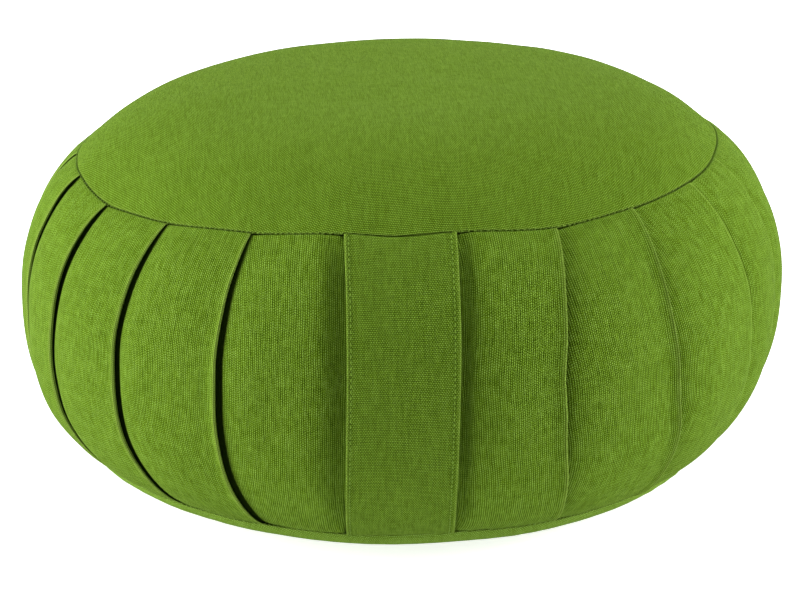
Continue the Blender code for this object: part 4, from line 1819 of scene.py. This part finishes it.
def seam_stitches(form: CushionForm, strap: StrapLine, edge: SeamEdge, end: PanelEnd) -> Stitching:
    """Stitches that cross a seam's groove, from the band's edge to the round panel's edge.

    Args:
        form: the cushion's form.
        strap: the strap's line, under whose ends no stitch shows.
        edge: how both cloths turn into the seam.
        end: which seam.

    Returns:
        The stitches.
    """
    sewing = Stitching(f"{end.value}_seam_stitches", thread_radius=0.00027)
    pitch = 0.0026
    lean = 0.12
    sunk = 0.00008
    arch = 0.00012
    turned_share = 0.40
    reach = edge.half_gap + turned_share * edge.radius
    count = int(2.0 * math.pi * form.seam_radius / pitch)
    chance = np.random.default_rng(8)
    azimuth = np.arange(count) * 360.0 / count + chance.uniform(-lean, lean, count)
    at_top = end is PanelEnd.CROWN
    band_distance = np.full(count, form.side.length - reach if at_top else reach)
    panel = form.crown if at_top else form.sole
    panel_distance = np.full(count, reach if at_top else panel.length - reach)
    x = form.seam_radius * np.sin(np.radians(azimuth))
    at_front = np.cos(np.radians(azimuth)) > 0.0
    on_strap = at_front & (strap.beside(x) < 0.0)
    seat = np.where(at_front, strap.seat(x, np.ones(count)), 0.0)
    depth = np.where(on_strap, strap.depth(x, np.ones(count)), seat)
    start = form.side.surface(band_distance, azimuth - lean, sunk + depth)
    stop = panel.surface(panel_distance, azimuth + lean, np.full(count, sunk))
    start, stop = form.settle(start)[~on_strap], form.settle(stop)[~on_strap]
    sewing.add(start, stop, outward_at(start), arch)
    return sewing


# The studio


@dataclass(frozen=True)
class SoftLight:
    """A large soft light that faces the cushion."""

    name: str
    azimuth: float
    climb: float
    distance: float
    width: float
    height: float
    power: float

    def place(self, target: Vector) -> None:
        """Add the light to the scene, turned towards the target.

        Args:
            target: the point that it faces.
        """
        data = bpy.data.lights.new(self.name, "AREA")
        data.shape = "RECTANGLE"
        data.size = self.width
        data.size_y = self.height
        data.energy = self.power
        light = bpy.data.objects.new(self.name, data)
        bpy.context.scene.collection.objects.link(light)
        turn, climb = math.radians(self.azimuth), math.radians(self.climb)
        level = self.distance * math.cos(climb)
        away = Vector((level * math.sin(turn), -level * math.cos(turn), 0.0))
        away.z = self.distance * math.sin(climb)
        light.location = target + away
        light.rotation_euler = (-away).to_track_quat("-Z", "Y").to_euler()


SOFT_LIGHTS = (
    SoftLight("left_softbox", azimuth=-90, climb=12, distance=1.7, width=1.3, height=1.3, power=63.0),
    SoftLight("left_low_softbox", azimuth=-70, climb=8, distance=1.7, width=1.0, height=0.6, power=14.0),
    SoftLight("right_softbox", azimuth=88, climb=11, distance=1.7, width=1.3, height=1.3, power=65.0),
    SoftLight("front_softbox", azimuth=0, climb=72, distance=1.8, width=1.0, height=1.0, power=14.5),
    SoftLight("top_softbox", azimuth=180, climb=86, distance=1.8, width=1.2, height=1.2, power=23.5),
    SoftLight("back_softbox", azimuth=180, climb=20, distance=2.0, width=2.0, height=0.8, power=26.0),
)


@dataclass(frozen=True)
class Studio:
    """The white floor, the soft lights and the camera at the photograph's angle.

    The camera looks at the middle of the side, which the photograph shows a little off its own
    middle, so the lens is shifted by that.
    """

    form: CushionForm
    elevation: float = 18.776
    distance: float = 1.0866
    focal_pixels: float = 2257.1
    image_width: int = 800
    image_height: int = 600
    middle_x: float = 399.58
    middle_y: float = 275.25
    sensor: float = 36.0
    nearest: float = 0.05
    sky: float = 0.05
    floor_size: float = 40.0
    floor_drop: float = 0.0002

    def build(self) -> None:
        """Add the floor, the lights, the world and the camera."""
        target = Vector((0.0, 0.0, self.form.sole_rise + self.form.side_height / 2.0))
        for light in SOFT_LIGHTS:
            light.place(target)
        self.lay_floor()
        world = bpy.data.worlds.new("white_room")
        world.use_nodes = True
        sky = world.node_tree.nodes["Background"]
        sky.inputs["Color"].default_value = WHITE
        sky.inputs["Strength"].default_value = self.sky
        bpy.context.scene.world = world
        bpy.context.scene.view_settings.view_transform = "Standard"
        self.place_camera(target)

    def lay_floor(self) -> None:
        """Lay a flat square just under the flat patch."""
        half = self.floor_size / 2.0
        ways = ((-1.0, -1.0), (1.0, -1.0), (1.0, 1.0), (-1.0, 1.0))
        mesh = bpy.data.meshes.new("floor")
        corners = [(half * x, half * y, -self.floor_drop) for x, y in ways]
        mesh.from_pydata(corners, [], [(0, 1, 2, 3)])
        mesh.materials.append(FloorFinish().material())
        floor = bpy.data.objects.new("floor", mesh)
        bpy.context.scene.collection.objects.link(floor)

    def place_camera(self, target: Vector) -> None:
        """Put the camera at the photograph's angle, distance and framing.

        Args:
            target: the point that it looks at.
        """
        data = bpy.data.cameras.new("camera")
        data.sensor_width = self.sensor
        data.lens = self.focal_pixels * self.sensor / self.image_width
        data.shift_x = -(self.middle_x - self.image_width / 2.0) / self.image_width
        data.shift_y = (self.middle_y - self.image_height / 2.0) / self.image_width
        data.clip_start = self.nearest
        camera = bpy.data.objects.new("camera", data)
        climb = math.radians(self.elevation)
        away = Vector((0.0, -math.cos(climb), math.sin(climb))) * self.distance
        camera.location = target + away
        camera.rotation_euler = (math.pi / 2.0 - climb, 0.0, 0.0)
        bpy.context.scene.collection.objects.link(camera)
        bpy.context.scene.camera = camera


def make(
    part: PleatedBand | RoundPanel | CarryStrap | Stitching, finish: CanvasFinish | ThreadFinish
) -> None:
    """Build a piece, dress it, and log its name and size.

    Args:
        part: the piece's class, with its sizes.
        finish: its cloth or thread.
    """
    piece = part.build()
    part.dress(piece, finish)
    triangles = sum(len(face.vertices) - 2 for face in piece.data.polygons)
    size = [round(1000.0 * side, 1) for side in piece.dimensions]
    log.info("%s: %d triangles, %s mm", piece.name, triangles, size)


def main() -> None:
    """Build, dress and light the cushion."""
    logging.basicConfig(level=logging.INFO, format="%(message)s")
    form = CushionForm()
    line = StrapLine()
    edge = SeamEdge()
    make(PleatedBand(form, line, edge), BAND_CANVAS)
    for end, canvas in ((PanelEnd.CROWN, CROWN_CANVAS), (PanelEnd.SOLE, SOLE_CANVAS_PAINTED_LIGHT)):
        make(RoundPanel(form, edge, end), canvas)
        thread = ThreadFinish(f"{end.value}_seam_thread", color=SEAM_THREAD_COLOR)
        make(seam_stitches(form, line, edge, end), thread)
    strap = CarryStrap(form, line)
    make(topstitches(strap), ThreadFinish("topstitch_thread"))
    make(strap, STRAP_CANVAS)
    Studio(form).build()


if __name__ == "__main__":
    main()
